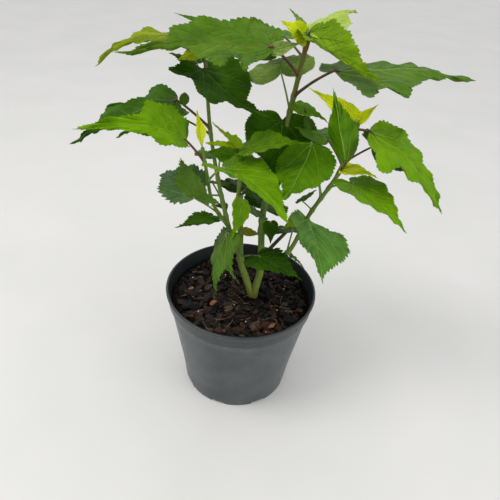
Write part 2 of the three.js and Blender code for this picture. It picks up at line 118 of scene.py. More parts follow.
def add_mesh(name, points, faces, materials, indices=None, sharp=None):
    """An object from points in millimetres. Edges that bend more than sharp degrees stay crisp."""
    mesh = bpy.data.meshes.new(name)
    mesh.from_pydata((np.asarray(points, float) * MM).tolist(), [], faces)
    for material in materials:
        mesh.materials.append(material)
    if indices is not None:
        mesh.polygons.foreach_set("material_index", np.asarray(indices, dtype=np.int32))
    mesh.polygons.foreach_set("use_smooth", [True] * len(mesh.polygons))
    if sharp is not None:
        mesh.set_sharp_from_angle(angle=math.radians(sharp))
    mesh.update()
    made = bpy.data.objects.new(name, mesh)
    bpy.context.scene.collection.objects.link(made)
    return made


def outer_radius(z):
    return FOOT_RADIUS + (RIM_RADIUS - FOOT_RADIUS) * z / POT_HEIGHT


def inner_radius(z):
    return outer_radius(z) - COLLAR_STEP - POT_WALL


def turned(profile, sides):
    """Points and faces of a closed shape turned about Z from a profile that starts and ends on it."""
    angles = 2 * np.pi * np.arange(sides) / sides
    rings = [np.c_[r * np.cos(angles), r * np.sin(angles), np.full(sides, z)] for r, z in profile[1:-1]]
    points = np.concatenate([[[0, 0, profile[0][1]]], *rings, [[0, 0, profile[-1][1]]]])
    faces = []
    last = len(points) - 1
    foot = 1 + (len(rings) - 1) * sides
    for j in range(sides):
        k = (j + 1) % sides
        faces.append((0, 1 + k, 1 + j))
        faces.append((foot + j, foot + k, last))
        for i in range(len(rings) - 1):
            a = 1 + i * sides
            faces.append((a + j, a + k, a + sides + k, a + sides + j))
    return points, faces


# Moulded polypropylene with a fine satin skin: blue-grey, with painted shade on the collar
# and the rim, soil dust below the rim, cloudy rubbed patches, and pale scratches along the
# collar's foot
polypropylene, tree, where = new_material("polypropylene_moulded_satin")
height = add_node(tree, "SeparateXYZ", {"Vector": where}).outputs["Z"]
cloud = add_node(tree, "TexNoise", {
    "Vector": where, "Scale": 1 / (34 * MM), "Detail": 4.0, "Roughness": 0.6})
skin = add_node(tree, "ValToRGB", {"Fac": cloud}, [(0.3, "#343a3d"), (0.52, "#3f4648"), (0.75, "#4a5153")])
# Painted shade: from 113 mm up the skin is mixed more and more towards a near-black grey, over the collar
# and the rim
collar_painted_shade_band = add_node(tree, "MapRange", {
    "Value": height, "From Min": 113.0 * MM, "From Max": 118.0 * MM, "To Max": 0.55})
collar_shaded_skin = add_node(tree, "Mix", {
    "Factor": collar_painted_shade_band, COLOUR_A: skin, COLOUR_B: "#272c2e"}, data_type="RGBA")
dust_band = add_node(tree, "MapRange", {"Value": height, "From Min": 108 * MM, "From Max": 132 * MM})
grit = add_node(tree, "TexNoise", {
    "Vector": where, "Scale": 1 / (2.6 * MM), "Detail": 5.0, "Roughness": 0.7})
specks = add_node(tree, "MapRange", {"Value": grit, "From Min": 0.6, "From Max": 0.64, "To Min": 0.15})
soiled = add_node(tree, "Math", {0: specks, 1: dust_band}, operation="MULTIPLY")
dirty = add_node(tree, "Mix", {"Factor": soiled, COLOUR_A: collar_shaded_skin, COLOUR_B: "#16110e"}, data_type="RGBA")
wear = add_node(tree, "TexNoise", {
    "Vector": where, "Scale": 1 / (7 * MM), "Detail": 6.0, "Roughness": 0.75})
rubbed = add_node(tree, "MapRange", {"Value": wear, "From Min": 0.64, "From Max": 0.72, "To Max": 0.5})
scuffed = add_node(tree, "Mix", {"Factor": rubbed, COLOUR_A: dirty, COLOUR_B: "#8b9393"}, data_type="RGBA")
flattened = add_node(tree, "Mapping", {"Vector": where, "Scale": (1.0, 1.0, 5.0)})
scratches = add_node(tree, "TexNoise", {
    "Vector": flattened, "Scale": 1 / (5 * MM), "Detail": 6.0, "Roughness": 0.7})
scratched = add_node(tree, "MapRange", {
    "Value": scratches, "From Min": 0.57, "From Max": 0.63, "To Max": 0.6})
from_step = add_node(tree, "Math", {0: height, 1: 113.5 * MM}, operation="SUBTRACT")
off_step = add_node(tree, "Math", {0: from_step}, operation="ABSOLUTE")
step_band = add_node(tree, "MapRange", {
    "Value": off_step, "From Max": 3.5 * MM, "To Min": 1.0, "To Max": 0.0})
chafed = add_node(tree, "Math", {0: scratched, 1: step_band}, operation="MULTIPLY")
chafed_skin = add_node(tree, "Mix", {
    "Factor": chafed, COLOUR_A: scuffed, COLOUR_B: "#a8b0b0"}, data_type="RGBA")
grain = add_node(tree, "TexNoise", {"Vector": where, "Scale": 1 / (0.9 * MM), "Detail": 2.0})
relief = add_node(tree, "Bump", {"Height": grain, "Strength": 0.12, "Distance": 0.1 * MM})
gloss = add_node(tree, "MapRange", {
    "Value": wear, "From Min": 0.3, "From Max": 0.7, "To Min": 0.3, "To Max": 0.42})
plastic = add_node(tree, "BsdfPrincipled", {
    "Base Color": chafed_skin, "Roughness": gloss, "IOR": 1.49, "Normal": relief})
add_node(tree, "OutputMaterial", {"Surface": plastic})

# The same plastic inside the pot, darkened to near black as painted shade, and mottled with smears of
# compost
inside_smears_painted_shade = mottled_material(
    "polypropylene_inside_smears_painted_shade", 9, 6.0, [(0.35, "#121517"), (0.6, "#1d2123"), (0.72, "#2c2a27")],
    {"Roughness": 0.6, "Specular IOR Level": 0.25}, raggedness=0.7)

# The profile runs from the middle of the underside round the foot ring, up the wall, over
# the collar and the rolled rim, and down the inside to the floor, with small rounds
collar_foot = POT_HEIGHT - COLLAR_DEPTH
collar_radius = outer_radius(collar_foot)
floor_top = FLOOR_HEIGHT + FLOOR_THICKNESS
ring_inside = FOOT_RADIUS - FOOT_RING_WIDTH
waist = outer_radius(WAIST_HEIGHT) - COLLAR_STEP
pot_profile = [
    (0, 0), (BOSS_RADIUS - 0.4, 0), (BOSS_RADIUS, 0.3), (BOSS_RADIUS + 1, FLOOR_HEIGHT - 0.3),
    (BOSS_RADIUS + 1.5, FLOOR_HEIGHT), (ring_inside - 0.5, FLOOR_HEIGHT),
    (ring_inside, FLOOR_HEIGHT - 0.5), (ring_inside, 0.4), (ring_inside + 0.4, 0),
    (FOOT_RADIUS - 0.7, 0), (FOOT_RADIUS - 0.2, 0.2), (FOOT_RADIUS, 0.7), (FOOT_RADIUS + 0.9, 8),
    (FOOT_RADIUS + 1.6, 14), (waist - 0.4, WAIST_HEIGHT - 4), (waist + 0.3, WAIST_HEIGHT),
]
for share in np.linspace(0.12, 1, 9):
    z = WAIST_HEIGHT + (collar_foot - 1.8 - WAIST_HEIGHT) * share
    pot_profile.append((outer_radius(z) - COLLAR_STEP, z))
for out, up in [(0.2 - COLLAR_STEP, -1.3), (-0.4, -0.3), (-0.05, 0.3), (0.1, 1.2)]:
    pot_profile.append((collar_radius + out, collar_foot + up))
for back, down in [
    (RIM_LIP + 0.4, 6.5), (RIM_LIP, 3.6), (0.5, 3.0), (0.05, 2.4), (0, 1.6), (0.15, 0.6), (0.6, 0.1),
    (1.4, 0), (RIM_LIP + POT_WALL - 0.3, 0.1), (RIM_LIP + POT_WALL + 0.2, 0.7),
]:
    pot_profile.append((RIM_RADIUS - back, POT_HEIGHT - down))
pot_profile += [(inner_radius(z), z) for z in (collar_foot + 4, collar_foot, 60)]
pot_profile += [
    (inner_radius(floor_top) + 0.2, floor_top + 1), (inner_radius(floor_top) - 1, floor_top),
    (0, floor_top),
]
points, faces = turned(pot_profile, POT_SIDES)
degrees = np.degrees(np.arctan2(points[:, 1], points[:, 0]))
from_notch = (degrees - NOTCH_START + NOTCH_SPAN / 2) % (360 / NOTCHES)
in_notch = (from_notch > 0.5) & (from_notch < NOTCH_SPAN - 0.5)
in_notch &= np.hypot(points[:, 0], points[:, 1]) > BOSS_RADIUS + 5
points[in_notch & (points[:, 2] < NOTCH_HEIGHT), 2] += NOTCH_HEIGHT
middles = np.array([points[list(face)].mean(axis=0) for face in faces])
inside = np.hypot(middles[:, 0], middles[:, 1]) < inner_radius(middles[:, 2]) + 0.9
inside &= middles[:, 2] > floor_top
pot = add_mesh("pot_shell", points, faces, [polypropylene, inside_smears_painted_shade], inside, sharp=50)

# The drain holes are cut through the floor near its edge, one inside each notch
drills = bmesh.new()
for i in range(NOTCHES):
    angle = math.radians(NOTCH_START + i * 360 / NOTCHES)
    made = bmesh.ops.create_cone(
        drills, cap_ends=True, segments=32, radius1=DRAIN_RADIUS * MM, radius2=DRAIN_RADIUS * MM,
        depth=3 * FLOOR_HEIGHT * MM)
    across = Vector((math.cos(angle), math.sin(angle), 0)) * DRAIN_CIRCLE * MM
    bmesh.ops.translate(drills, verts=made["verts"], vec=across + Vector((0, 0, FLOOR_HEIGHT * MM)))
drill_mesh = bpy.data.meshes.new("drain_drills")
drills.to_mesh(drill_mesh)
drills.free()
drill = bpy.data.objects.new("drain_drills", drill_mesh)
bpy.context.scene.collection.objects.link(drill)
holes = pot.modifiers.new("drain_holes", "BOOLEAN")
holes.operation = "DIFFERENCE"
holes.object = drill
holes.solver = "EXACT"
with bpy.context.temp_override(object=pot, active_object=pot, selected_objects=[pot]):
    bpy.ops.object.modifier_apply(modifier="drain_holes")
bpy.data.objects.remove(drill)
bpy.data.meshes.remove(drill_mesh)
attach(pot, "root")
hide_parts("pot")


# The compost: peat that fills the pot to a finger below the rim. Its damp crumbly top is
# nearly black and shows between the bark chips that lie on it.
COMPOST_TOP = 121.0
SOIL_DEPTH = 3.2
SOIL_GAP = 0.3
RING_STEP = 1.3
SOIL_SIDES = 220

# The lengths and heights of the soil's lumps, clods and crumbs
SOIL_WAVES = [(14, 1.6), (4.1, 1.1), (1.7, 0.6)]


def seeded(seed):
    """A repeatable stream of numbers between 0 and 1."""
    state = seed
    while True:
        state = (state * 16807) % 2147483647
        yield state / 2147483647


def soil_height(x, y):
    """The height of the crumbly surface at a place."""
    place = Vector((x, y, 0.0))
    return COMPOST_TOP - SOIL_DEPTH + sum(high * noise.noise(place / long) for long, high in SOIL_WAVES)


# Damp peat: matt, nearly black, with brown crumbs of a millimetre or two
peat = mottled_material(
    "peat_compost_damp", 1.8, 6.0, [(0.35, "#0b0807"), (0.55, "#17100d"), (0.72, "#2d1d15")],
    {"Roughness": 0.92, "Specular IOR Level": 0.12}, raggedness=0.7, relief=(0.8, 1.2))

soil_bottom = floor_top + SOIL_GAP
soil_edge = COMPOST_TOP - SOIL_DEPTH
edge_radius = inner_radius(soil_edge)
soil_profile = [(0, soil_bottom), (inner_radius(soil_bottom) - SOIL_GAP, soil_bottom)]
soil_profile += [(inner_radius(z) - SOIL_GAP, z) for z in (40, 80, soil_edge - 3)]
for i in range(int(edge_radius / RING_STEP)):
    soil_profile.append((edge_radius - SOIL_GAP - RING_STEP * i, soil_edge))
points, faces = turned(soil_profile + [(0, soil_edge)], SOIL_SIDES)
for i in np.flatnonzero(points[:, 2] > soil_edge - 0.01):
    points[i, 2] = soil_height(points[i, 0], points[i, 1])
soil_piece = add_mesh("compost_peat", points, faces, [peat])
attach(soil_piece, "root")
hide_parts("compost")

# The mulch: chips of pine bark, 5 to 20 mm long, tipped loosely on the compost in three
# layers. Each is a split flake with a ragged edge. Most are dark with damp, some show the
# red-brown inner bark, and a few are weathered grey or fresh and tan.
CHIP_REACH = inner_radius(COMPOST_TOP) - 1.5
CHIP_TOP = COMPOST_TOP + 3.2
CHIP_KINDS = {
    "bark_chips_black": ("#020202", "#1b1512"),
    "bark_chips_brown": ("#0e0806", "#3a2a1e"),
    "bark_chips_red": ("#1c0f0a", "#563528"),
    "bark_chips_grey": ("#241d17", "#665746"),
    "bark_chips_tan": ("#5a3820", "#a06f48"),
}

# The foot of the stems, which the chips keep clear of
CROWN = (13, 3)
CROWN_RADIUS = 6


def mix(a, b, share):
    return a + (b - a) * share


def flake(long, wide, thick, draw):
    """Points and faces of a bark flake: two ragged hexagons and the split edge between."""
    sides = 6
    points = []
    radii = [mix(0.6, 1.12, next(draw)) for _ in range(sides)]
    for level, shrink in ((-0.5, 0.82), (0.5, 0.78), (0.1, 1.0)):
        for j, radius in enumerate(radii):
            angle = 2 * math.pi * (j + 0.35 * next(draw)) / sides
            out = 0.5 * radius * shrink
            lift = thick * (level + 0.35 * (next(draw) - 0.5))
            points.append((long * out * math.cos(angle), wide * out * math.sin(angle), lift))
    faces = [tuple(range(sides - 1, -1, -1)), tuple(range(sides, 2 * sides))]
    for j in range(sides):
        k = (j + 1) % sides
        faces.append((j, k, 2 * sides + k, 2 * sides + j))
        faces.append((2 * sides + j, 2 * sides + k, sides + k, sides + j))
    return np.array(points), faces


def turn_matrix(turn, tilt, spin):
    """A rotation: spin about Z, then a tilt, then a turn about Z, in radians."""
    def about_z(angle):
        c, s = math.cos(angle), math.sin(angle)
        return np.array([[c, -s, 0], [s, c, 0], [0, 0, 1]])
    c, s = math.cos(tilt), math.sin(tilt)
    return about_z(turn) @ np.array([[1, 0, 0], [0, c, -s], [0, s, c]]) @ about_z(spin)


class Heap:
    """Points and faces of many small shapes that end up in one mesh."""

    def __init__(self):
        self.points = []
        self.faces = []
        self.indices = []
        self.count = 0

    def add(self, points, faces, index=0):
        self.points.append(points)
        self.faces.extend([tuple(corner + self.count for corner in face) for face in faces])
        self.indices.extend([index] * len(faces))
        self.count += len(points)

    def mesh(self, name, materials, sharp=None):
        return add_mesh(name, np.concatenate(self.points), self.faces, materials, self.indices, sharp)


# Each layer: how many chips, their least and most length, and how far over the soil they
# lie. There are more warm-coloured chips on the left and along the front.
CHIP_LAYERS = [(900, 5, 10, -0.6, 1.0), (560, 7, 15, 0.4, 2.4), (190, 10, 20, 1.8, 3.4)]
draw = seeded(4117)
heaps = {kind: Heap() for kind in CHIP_KINDS}
for count, short, long, low, high in CHIP_LAYERS:
    for _ in range(count):
        size = mix(short, long, next(draw) ** 1.6)
        wide = size * mix(0.32, 0.7, next(draw))
        thick = size * mix(0.12, 0.28, next(draw)) + 0.4
        radius = (CHIP_REACH - size / 2) * math.sqrt(next(draw))
        angle = 2 * math.pi * next(draw)
        x, y = radius * math.cos(angle), radius * math.sin(angle)
        tilt = (next(draw) - 0.5) * (1.5 if size < 8 else 0.7)
        z = soil_height(x, y) + mix(low, high, next(draw))
        chip, chip_faces = flake(size, wide, thick, draw)
        chip = chip @ turn_matrix(2 * math.pi * next(draw), tilt, 0.6 * (next(draw) - 0.5)).T + (x, y, z)
        chip[:, 2] -= max(0.0, chip[:, 2].max() - CHIP_TOP)
        pick = next(draw)
        warm = 0.08 if x > 12 and y > -35 else 0.24
        kind = "bark_chips_black" if pick > 0.3 + warm else "bark_chips_brown"
        if pick < 0.4 * warm:
            kind = "bark_chips_red"
        elif pick < 0.4 * warm + 0.05:
            kind = "bark_chips_grey"
        elif pick < 0.4 * warm + 0.058 and size < 9:
            kind = "bark_chips_tan"
        if math.hypot(x - CROWN[0], y - CROWN[1]) > CROWN_RADIUS + size / 2:
            heaps[kind].add(chip, chip_faces)

# The fresh chips that catch the eye at the front: place, length, width, turn and kind
for x, y, size, wide, turn, kind in [
    (36.5, -50, 14, 6.5, 35, "tan"), (21.5, -52, 11.5, 8, -10, "red"), (-20, -63, 12, 9, 10, "red"),
    (-57, 2, 9, 5, 25, "tan"), (-30, -20, 13, 5.5, 50, "tan"), (51, -14, 10, 7, -30, "grey"),
    (18, -30, 9, 6, 30, "red"), (-52, -45, 10, 6, 0, "red"), (2, -40, 20, 6, 12, "brown"),
    (-36, 52, 12, 7, 70, "red"),
]:
    chip, chip_faces = flake(size, wide, 3.0, draw)
    chip = chip @ turn_matrix(math.radians(turn), 0.15, 0.0).T + (x, y, COMPOST_TOP + 1.2)
    heaps["bark_chips_" + kind].add(chip, chip_faces)

# Pale root hairs and bark fibres, a third of a millimetre thick, that lie bowed across the
# chips, and a few white grains of expanded rock
HAIRS = 46
HAIR_RADIUS = 0.16
HAIR_STEPS = 8
fibres = Heap()
for _ in range(HAIRS):
    radius = (CHIP_REACH - 12) * math.sqrt(next(draw))
    angle = 2 * math.pi * next(draw)
    x, y, turn = radius * math.cos(angle), radius * math.sin(angle), 2 * math.pi * next(draw)
    long = 6 + 15 * next(draw) ** 2
    curl = 5 * (next(draw) - 0.5)
    strand, walls = [], []
    for i in range(HAIR_STEPS + 1):
        run = long * (i / HAIR_STEPS - 0.5)
        bow = curl * (1 - (2 * i / HAIR_STEPS - 1) ** 2)
        a = x + run * math.cos(turn) - bow * math.sin(turn)
        b = y + run * math.sin(turn) + bow * math.cos(turn)
        for m, spin in enumerate((0, 2.1, 4.2)):
            c, s = HAIR_RADIUS * math.cos(spin), HAIR_RADIUS * math.sin(spin)
            strand.append((a + c, b + s, COMPOST_TOP + 1.6 + bow * 0.3 + s))
            k, n = 3 * i + m, 3 * i + (m + 1) % 3
            walls.append((k, n, n + 3, k + 3))
    last = 3 * HAIR_STEPS
    fibres.add(np.array(strand), walls[:last] + [(2, 1, 0), (last, last + 1, last + 2)])
for x, y in [(42, -26), (-44, -38), (-58, 20), (8, -48), (30, -62), (-20, 30), (50, 12), (-6, -22)]:
    grain, grain_faces = flake(1.7, 1.4, 1.2, draw)
    fibres.add(grain + (x, y, COMPOST_TOP + 2.6), grain_faces, 1)

# Dry root hair: straw-coloured and dull. Perlite: white, chalky and full of pores.
straw = mottled_material(
    "root_hair_dry", 6, 3.0, [(0.35, "#3c2b1e"), (0.65, "#9a8462")], {"Roughness": 0.7})
perlite = mottled_material(
    "perlite_grain_white", 0.7, 3.0, [(0.35, "#a8a49a"), (0.6, "#e6e4de")], {"Roughness": 0.85})
litter = fibres.mesh("root_hairs", [straw, perlite], sharp=40)
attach(litter, "root")
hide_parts("compost")

for kind, (deep, bright) in CHIP_KINDS.items():
    # Pine bark: layered and corky, dull and dark in its seams and paler on the ridges
    bark = mottled_material(
        "pine_bark_" + kind.split("_")[-1], 3.2, 6.0, [(0.34, deep), (0.68, bright)],
        {"Roughness": 0.55, "Specular IOR Level": 0.16}, raggedness=0.72, relief=(0.6, 0.6))
    chips = heaps[kind].mesh(kind, [bark], sharp=25)
    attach(chips, "root")
    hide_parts("compost")


# The stems and boughs: green half-woody shoots, paler and browner at the foot, with a
# swelling at each node. Two stems rise from one crown, and the boughs spring from them.
# Each has the places that it passes through and its radius at the foot and at the tip.
SHOOTS = {
    "left": dict(kind="stem", foot=4.4, tip=1.7, through=[
        (18, 3, 105), (3, 3, 147), (-3, 3, 168), (-5, 1, 209), (-9, -1, 252), (-9, -4, 301)]),
    "right": dict(kind="stem", foot=4.6, tip=2.1, through=[
        (11.5, 3, 105), (18, 3, 139), (20, 3, 162), (17, 8, 225), (26, 26, 275), (34, 30, 327),
        (41, 8, 401)]),
    "tall_left": dict(kind="bough", foot=2.8, tip=1.6, through=[
        (-3, 3, 166), (-9, 2, 188), (-17, 0, 210), (-29, 8, 252), (-41, 19, 308), (-48, 28, 373)]),
    "low_left": dict(kind="bough", foot=1.9, tip=1.4, through=[
        (-15, 1, 206), (-34, -8, 243), (-40, -20, 284), (-43, -30, 312)]),
    "low_right": dict(kind="bough", foot=2.9, tip=1.6, through=[
        (20, 3, 158), (35, 0, 172), (50, -5, 194), (63, -10, 240), (84, -18, 295), (91, -24, 344)]),
    "stub": dict(kind="bough", foot=2.2, tip=1.8, through=[
        (20, 4, 172), (32, 3, 192), (43, 2, 209)]),
}
FLARE = 2.6
FLARE_SHARE = 0.12
NODE_SWELLING = 0.28
NODE_REACH = 2.6
LIMB_SIDES = 18
LIMB_STEP = 1.6

# The leaves of the side that is seen, by shoot: the height of the node, the place of the
# blade's base, turn, dip and roll of its midrib in degrees, its length, its width as a
# share of the length, how deep its lobes are and how heart-shaped its base is (0 to 1),
# its droop and fold in degrees, its tint
LEAF_COLUMNS = (
    "up", "base", "turn", "dip", "roll", "length", "width", "lobes", "heart", "droop", "fold", "tint")
LEAVES = {
    "left": [
        (297, (-6, -7, 304), -34, 23, -19, 67, 0.66, 0, 0.4, 11, 15, "bright"),
        (300, (-8, -5, 304), -175, 40, 38, 38, 0.34, 0.1, 0.5, -10, 15, "fresh"),
        (299, (-8, -5, 303), 178, 5, 20, 36, 0.42, 0.1, 0.5, 20, 10, "fresh"),
        (284, (-14, 4, 293), 164, -7, 30, 33, 0.8, 0.2, 0.5, 20, 0, "mid"),
        (250, (-5, -17, 256), -127, -71, -11, 44, 0.67, 0, 0.2, -16, -2, "bright"),
        (248, (-4, 3, 254), -28, 21, 0, 24, 0.9, 0.2, 0.5, 20, 0, "dark"),
        (172, (16, -18, 190), -40, 2, 1, 58, 0.88, 0, 1, 18, 3, "dark"),
        (168, (-18, -17, 214), -132, -81, -27, 77, 0.7, 1, 0.2, 53, -12, "slate"),
        (205, (-2, 2, 207), 35, -27, -40, 29, 0.4, 0, 0.5, 20, 0, "olive"),
    ],
    "right": [
        (368, (12, -9, 397), -170, -4, 15, 130, 0.61, 0.6, 0.8, 26, 8, "ribbed"),
        (347, (64, -16, 384), 13, -3, 2, 134, 0.85, 0, 0, 23, -7, "slate"),
        (330, (22, 27, 367), 86, -8, 18, 58, 1.15, 0.2, 1, 80, -6, "pale"),
        (310, (28, 30, 321), -87, -56, 12, 68, 1.16, 0.4, 1, -5, 0, "dark"),
        (336, (38, 22, 341), -12, -20, -5, 36, 0.83, 0.3, 0.5, 28, -8, "bright"),
        (398, (39, 6, 403), -146, 29, 70, 33, 0.62, 0.3, 0.5, 20, 10, "young"),
        (400, (39, 8, 408), 148, 40, 6, 24, 0.51, 0.2, 0.4, 23, 4, "pale"),
        (396, (41, 8, 405), -57, -6, -15, 97, 0.52, 0, 0.3, -7, 41, "lime"),
        (397, (42, 10, 407), 42, 12, 10, 61, 0.93, 0.7, 0.5, 55, -18, "wan"),
        (219, (13, -3, 229), -125, 50, 0, 30, 0.9, 0.2, 0.5, 30, 0, "blue"),
        (208, (26, 5, 219), -74, -74, 0, 26, 0.7, 0.3, 0.5, 35, 0, "dark"),
    ],
    "tall_left": [
        (311, (-72, 13, 338), -180, -26, 11, 120, 0.63, 0, 0, 32, -1, "dark"),
        (362, (-49, 23, 366), -39, -15, -3, 84, 0.88, 0.6, 1, -29, 12, "dark"),
        (368, (-56, 28, 383), -151, -6, 0, 93, 0.66, 0.7, 0.5, 83, -4, "citron"),
        (372, (-54, 26, 380), -157, -18, 48, 22, 0.7, 0.1, 0.5, 0, 15, "young"),
        (350, (-57, 33, 368), 148, 5, 0, 34, 0.7, 0.1, 0.5, 10, 0, "dark"),
        (245, (-52, 4, 243), 133, -6, 18, 71, 0.85, 0.4, 0, 86, 0, "blue"),
        (224, (-21, 14, 229), 180, -5, 0, 18, 0.7, 0.2, 0.5, 20, 0, "dark"),
    ],
    "low_left": [
        (224, (-34, -4, 226), -137, 5, -8, 47, 0.78, 0, 0.5, -3, 7, "dark"),
        (295, (-57, -29, 317), -143, 16, 44, 102, 0.4, 1, 0.6, 86, 24, "bright"),
        (273, (-24, -37, 298), -38, -17, 16, 80, 1.09, 0, 1, 50, 13, "bright"),
        (230, (-51, -18, 253), -125, 68, -18, 54, 0.71, 0.2, 0.1, 40, -13, "slate"),
        (311, (-43, -30, 313), 141, 79, 0, 33, 0.4, 0, 0.5, -10, 20, "young"),
    ],
    "low_right": [
        # Painted light: this leaf is given the mid tint instead of the dark one, to make up for the shade
        # that the leaves around it cast
        (262, (56, -4, 314), -109, -12, -2, 86, 0.73, 0.1, 0.2, -41, -14, "mid"),
        (292, (85, -33, 309), -124, 58, -27, 95, 0.51, 0.1, 0, 9, 53, "mid"),
        (343, (91, -22, 345), 154, 21, 45, 54, 0.35, 0.1, 0.5, 20, 10, "young"),
        (344, (91, -24, 346), -26, 53, -70, 23, 0.45, 0.1, 0.5, 10, 10, "young"),
        (338, (101, -28, 339), -10, -40, -15, 106, 0.67, 0, 0, 49, -1, "bright"),
        (275, (95, -24, 287), -49, -14, 10, 72, 0.87, 0, 0.9, 24, 6, "bright"),
        (296, (85, -20, 298), -20, 0, -5, 34, 0.7, 0.3, 0.5, 30, 5, "young"),
        (222, (64, -7, 233), -81, -17, 38, 79, 1.49, 0, 0.1, 19, 7, "grey"),
        (246, (54, -3, 252), -47, 51, 0, 26, 0.9, 0.2, 0.5, 20, 0, "dark"),
        (190, (51, 6, 178), 17, -49, 0, 32, 0.4, 0.1, 0.5, 30, 0, "dark"),
    ],
}

# The leaves of the far side grow by the seeded rule from the shoot, the height of the
# node and the turn of the petiole that are named here
FAR_SEED = 20
FAR_LEAVES = [
    ("tall_left", 350, 75), ("tall_left", 305, 165), ("tall_left", 262, 92), ("tall_left", 238, 120),
    ("left", 226, 88), ("right", 385, 125), ("right", 300, 80), ("right", 250, 100),
    ("right", 205, 88), ("low_right", 300, 112), ("low_right", 304, 30), ("low_right", 186, 78),
]
FAR_RISE = 0.35
FAR_HEART = 0.7
FAR_RANGES = dict(
    reach=(26, 36), swing=(-12, 12), dip=(-32, -12), roll=(-28, 28), length=(62, 84),
    width=(0.7, 0.85), lobes=(0.2, 0.6), droop=(8, 50), fold=(-8, 10))


def along(places, t):
    """A smooth curve through the given places, with t from 0 to 1."""
    p = np.asarray(places, float)
    last = len(p) - 1
    whole = min(max(t, 0.0), 1.0) * last
    i = min(int(whole), last - 1)
    w = whole - i
    b, c = p[i], p[i + 1]
    a = p[i - 1] if i > 0 else 2 * b - c
    d = p[i + 2] if i + 2 <= last else 2 * c - b
    bend = (2 * a - 5 * b + 4 * c - d) * w * w + (3 * b - a - 3 * c + d) * w ** 3
    return 0.5 * (2 * b + (c - a) * w + bend)


def at_height(places, height):
    """The t at which a rising curve reaches a height."""
    low, high = 0.0, 1.0
    for _ in range(40):
        middle = (low + high) / 2
        if along(places, middle)[2] < height:
            low = middle
        else:
            high = middle
    return low


def tube(curve, radius_at, steps, sides, ridge=0.0):
    """Points and faces of a closed limb round a curve, with ridges as a share of its radius."""
    ts = np.linspace(0, 1, steps + 1)
    centres = np.array([curve(t) for t in ts])
    across = np.array([1.0, 0.0, 0.0])
    points = []
    for i, centre in enumerate(centres):
        ahead = centres[min(i + 1, steps)] - centres[max(i - 1, 0)]
        ahead = ahead / np.linalg.norm(ahead)
        across = across - ahead * across.dot(ahead)
        across = across / np.linalg.norm(across)
        other = np.cross(ahead, across)
        for j in range(sides):
            angle = 2 * math.pi * j / sides
            waves = math.sin(3 * angle + 5 * ts[i]) + 0.5 * math.sin(5 * angle - 9 * ts[i])
            r = radius_at(ts[i]) * (1 + ridge * waves)
            points.append(centre + r * (math.cos(angle) * across + math.sin(angle) * other))
    faces = []
    for i in range(steps):
        for j in range(sides):
            k = (j + 1) % sides
            faces.append((i * sides + j, i * sides + k, (i + 1) * sides + k, (i + 1) * sides + j))
    faces.append(tuple(range(sides - 1, -1, -1)))
    faces.append(tuple(steps * sides + j for j in range(sides)))
    return np.array(points), faces


def seen_leaves(table):
    """A record of each leaf in a table that has a list of rows for each shoot."""
    return [
        dict(zip(LEAF_COLUMNS, row), shoot=shoot) for shoot, rows in table.items() for row in rows]


def far_leaves():
    """The leaves that stand out backwards on a rising petiole and dip away from the shoot."""
    draw = seeded(FAR_SEED)
    grown = []
    for shoot, up, turn in FAR_LEAVES:
        leaf = {key: mix(*ends, next(draw)) for key, ends in FAR_RANGES.items()}
        node = along(SHOOTS[shoot]["through"], at_height(SHOOTS[shoot]["through"], up))
        away = np.array([math.cos(math.radians(turn)), math.sin(math.radians(turn)), FAR_RISE])
        leaf.update(
            shoot=shoot, up=up, base=node + away * leaf["reach"], turn=turn + leaf["swing"],
            heart=FAR_HEART, tint="mid" if leaf["lobes"] > 0.4 else "dark")
        grown.append(leaf)
    return grown


leaves = seen_leaves(LEAVES) + far_leaves()

# Green rind: smooth and faintly waxy, olive to fresh green up the shoot and woody
# yellow-brown near the compost, with fine dark streaks along it
rind, tree, where = new_material("green_shoot_rind")
height = add_node(tree, "SeparateXYZ", {"Vector": where}).outputs["Z"]
rise = add_node(tree, "MapRange", {"Value": height, "From Min": 118 * MM, "From Max": 400 * MM})
age = add_node(tree, "ValToRGB", {"Fac": rise}, [
    (0.0, "#747030"), (0.06, "#849a44"), (0.25, "#76923a"), (0.6, "#6c8a32"), (0.9, "#6e7a2e"),
    (1.0, "#6a4826")])
stretched = add_node(tree, "Mapping", {"Vector": where, "Scale": (1.0, 1.0, 0.12)})
streaks = add_node(tree, "TexNoise", {
    "Vector": stretched, "Scale": 1 / (1.1 * MM), "Detail": 4.0, "Roughness": 0.65})
shade = add_node(tree, "MapRange", {"Value": streaks, "From Min": 0.35, "From Max": 0.7, "To Max": 0.42})
streaked = add_node(tree, "Mix", {"Factor": shade, COLOUR_A: age, COLOUR_B: "#44431f"}, data_type="RGBA")
relief = add_node(tree, "Bump", {"Height": streaks, "Strength": 0.3, "Distance": 0.3 * MM})
green = add_node(tree, "BsdfPrincipled", {
    "Base Color": streaked, "Roughness": 0.48, "Specular IOR Level": 0.3, "Normal": relief})
add_node(tree, "OutputMaterial", {"Surface": green})

# The dried rind of the old shoot that was pruned away: dull brown-green and fibrous
dry_wood = mottled_material(
    "pruned_shoot_dry", 1.5, 5.0, [(0.35, "#2f2c17"), (0.7, "#5a5730")], {"Roughness": 0.7},
    relief=(0.5, 0.4))


def shoot_radius(name, t):
    """The tapering radius, with a stem's flare at the foot and a swelling at each node with a leaf."""
    shoot = SHOOTS[name]
    height = along(shoot["through"], t)[2]
    flare = FLARE * max(0.0, 1 - t / FLARE_SHARE) if shoot["kind"] == "stem" else 0.0
    swelling = sum(
        math.exp(-((height - leaf["up"]) / NODE_REACH) ** 2) for leaf in leaves if leaf["shoot"] == name)
    return (mix(shoot["foot"], shoot["tip"], t) + flare) * (1 + NODE_SWELLING * min(swelling, 1.0))


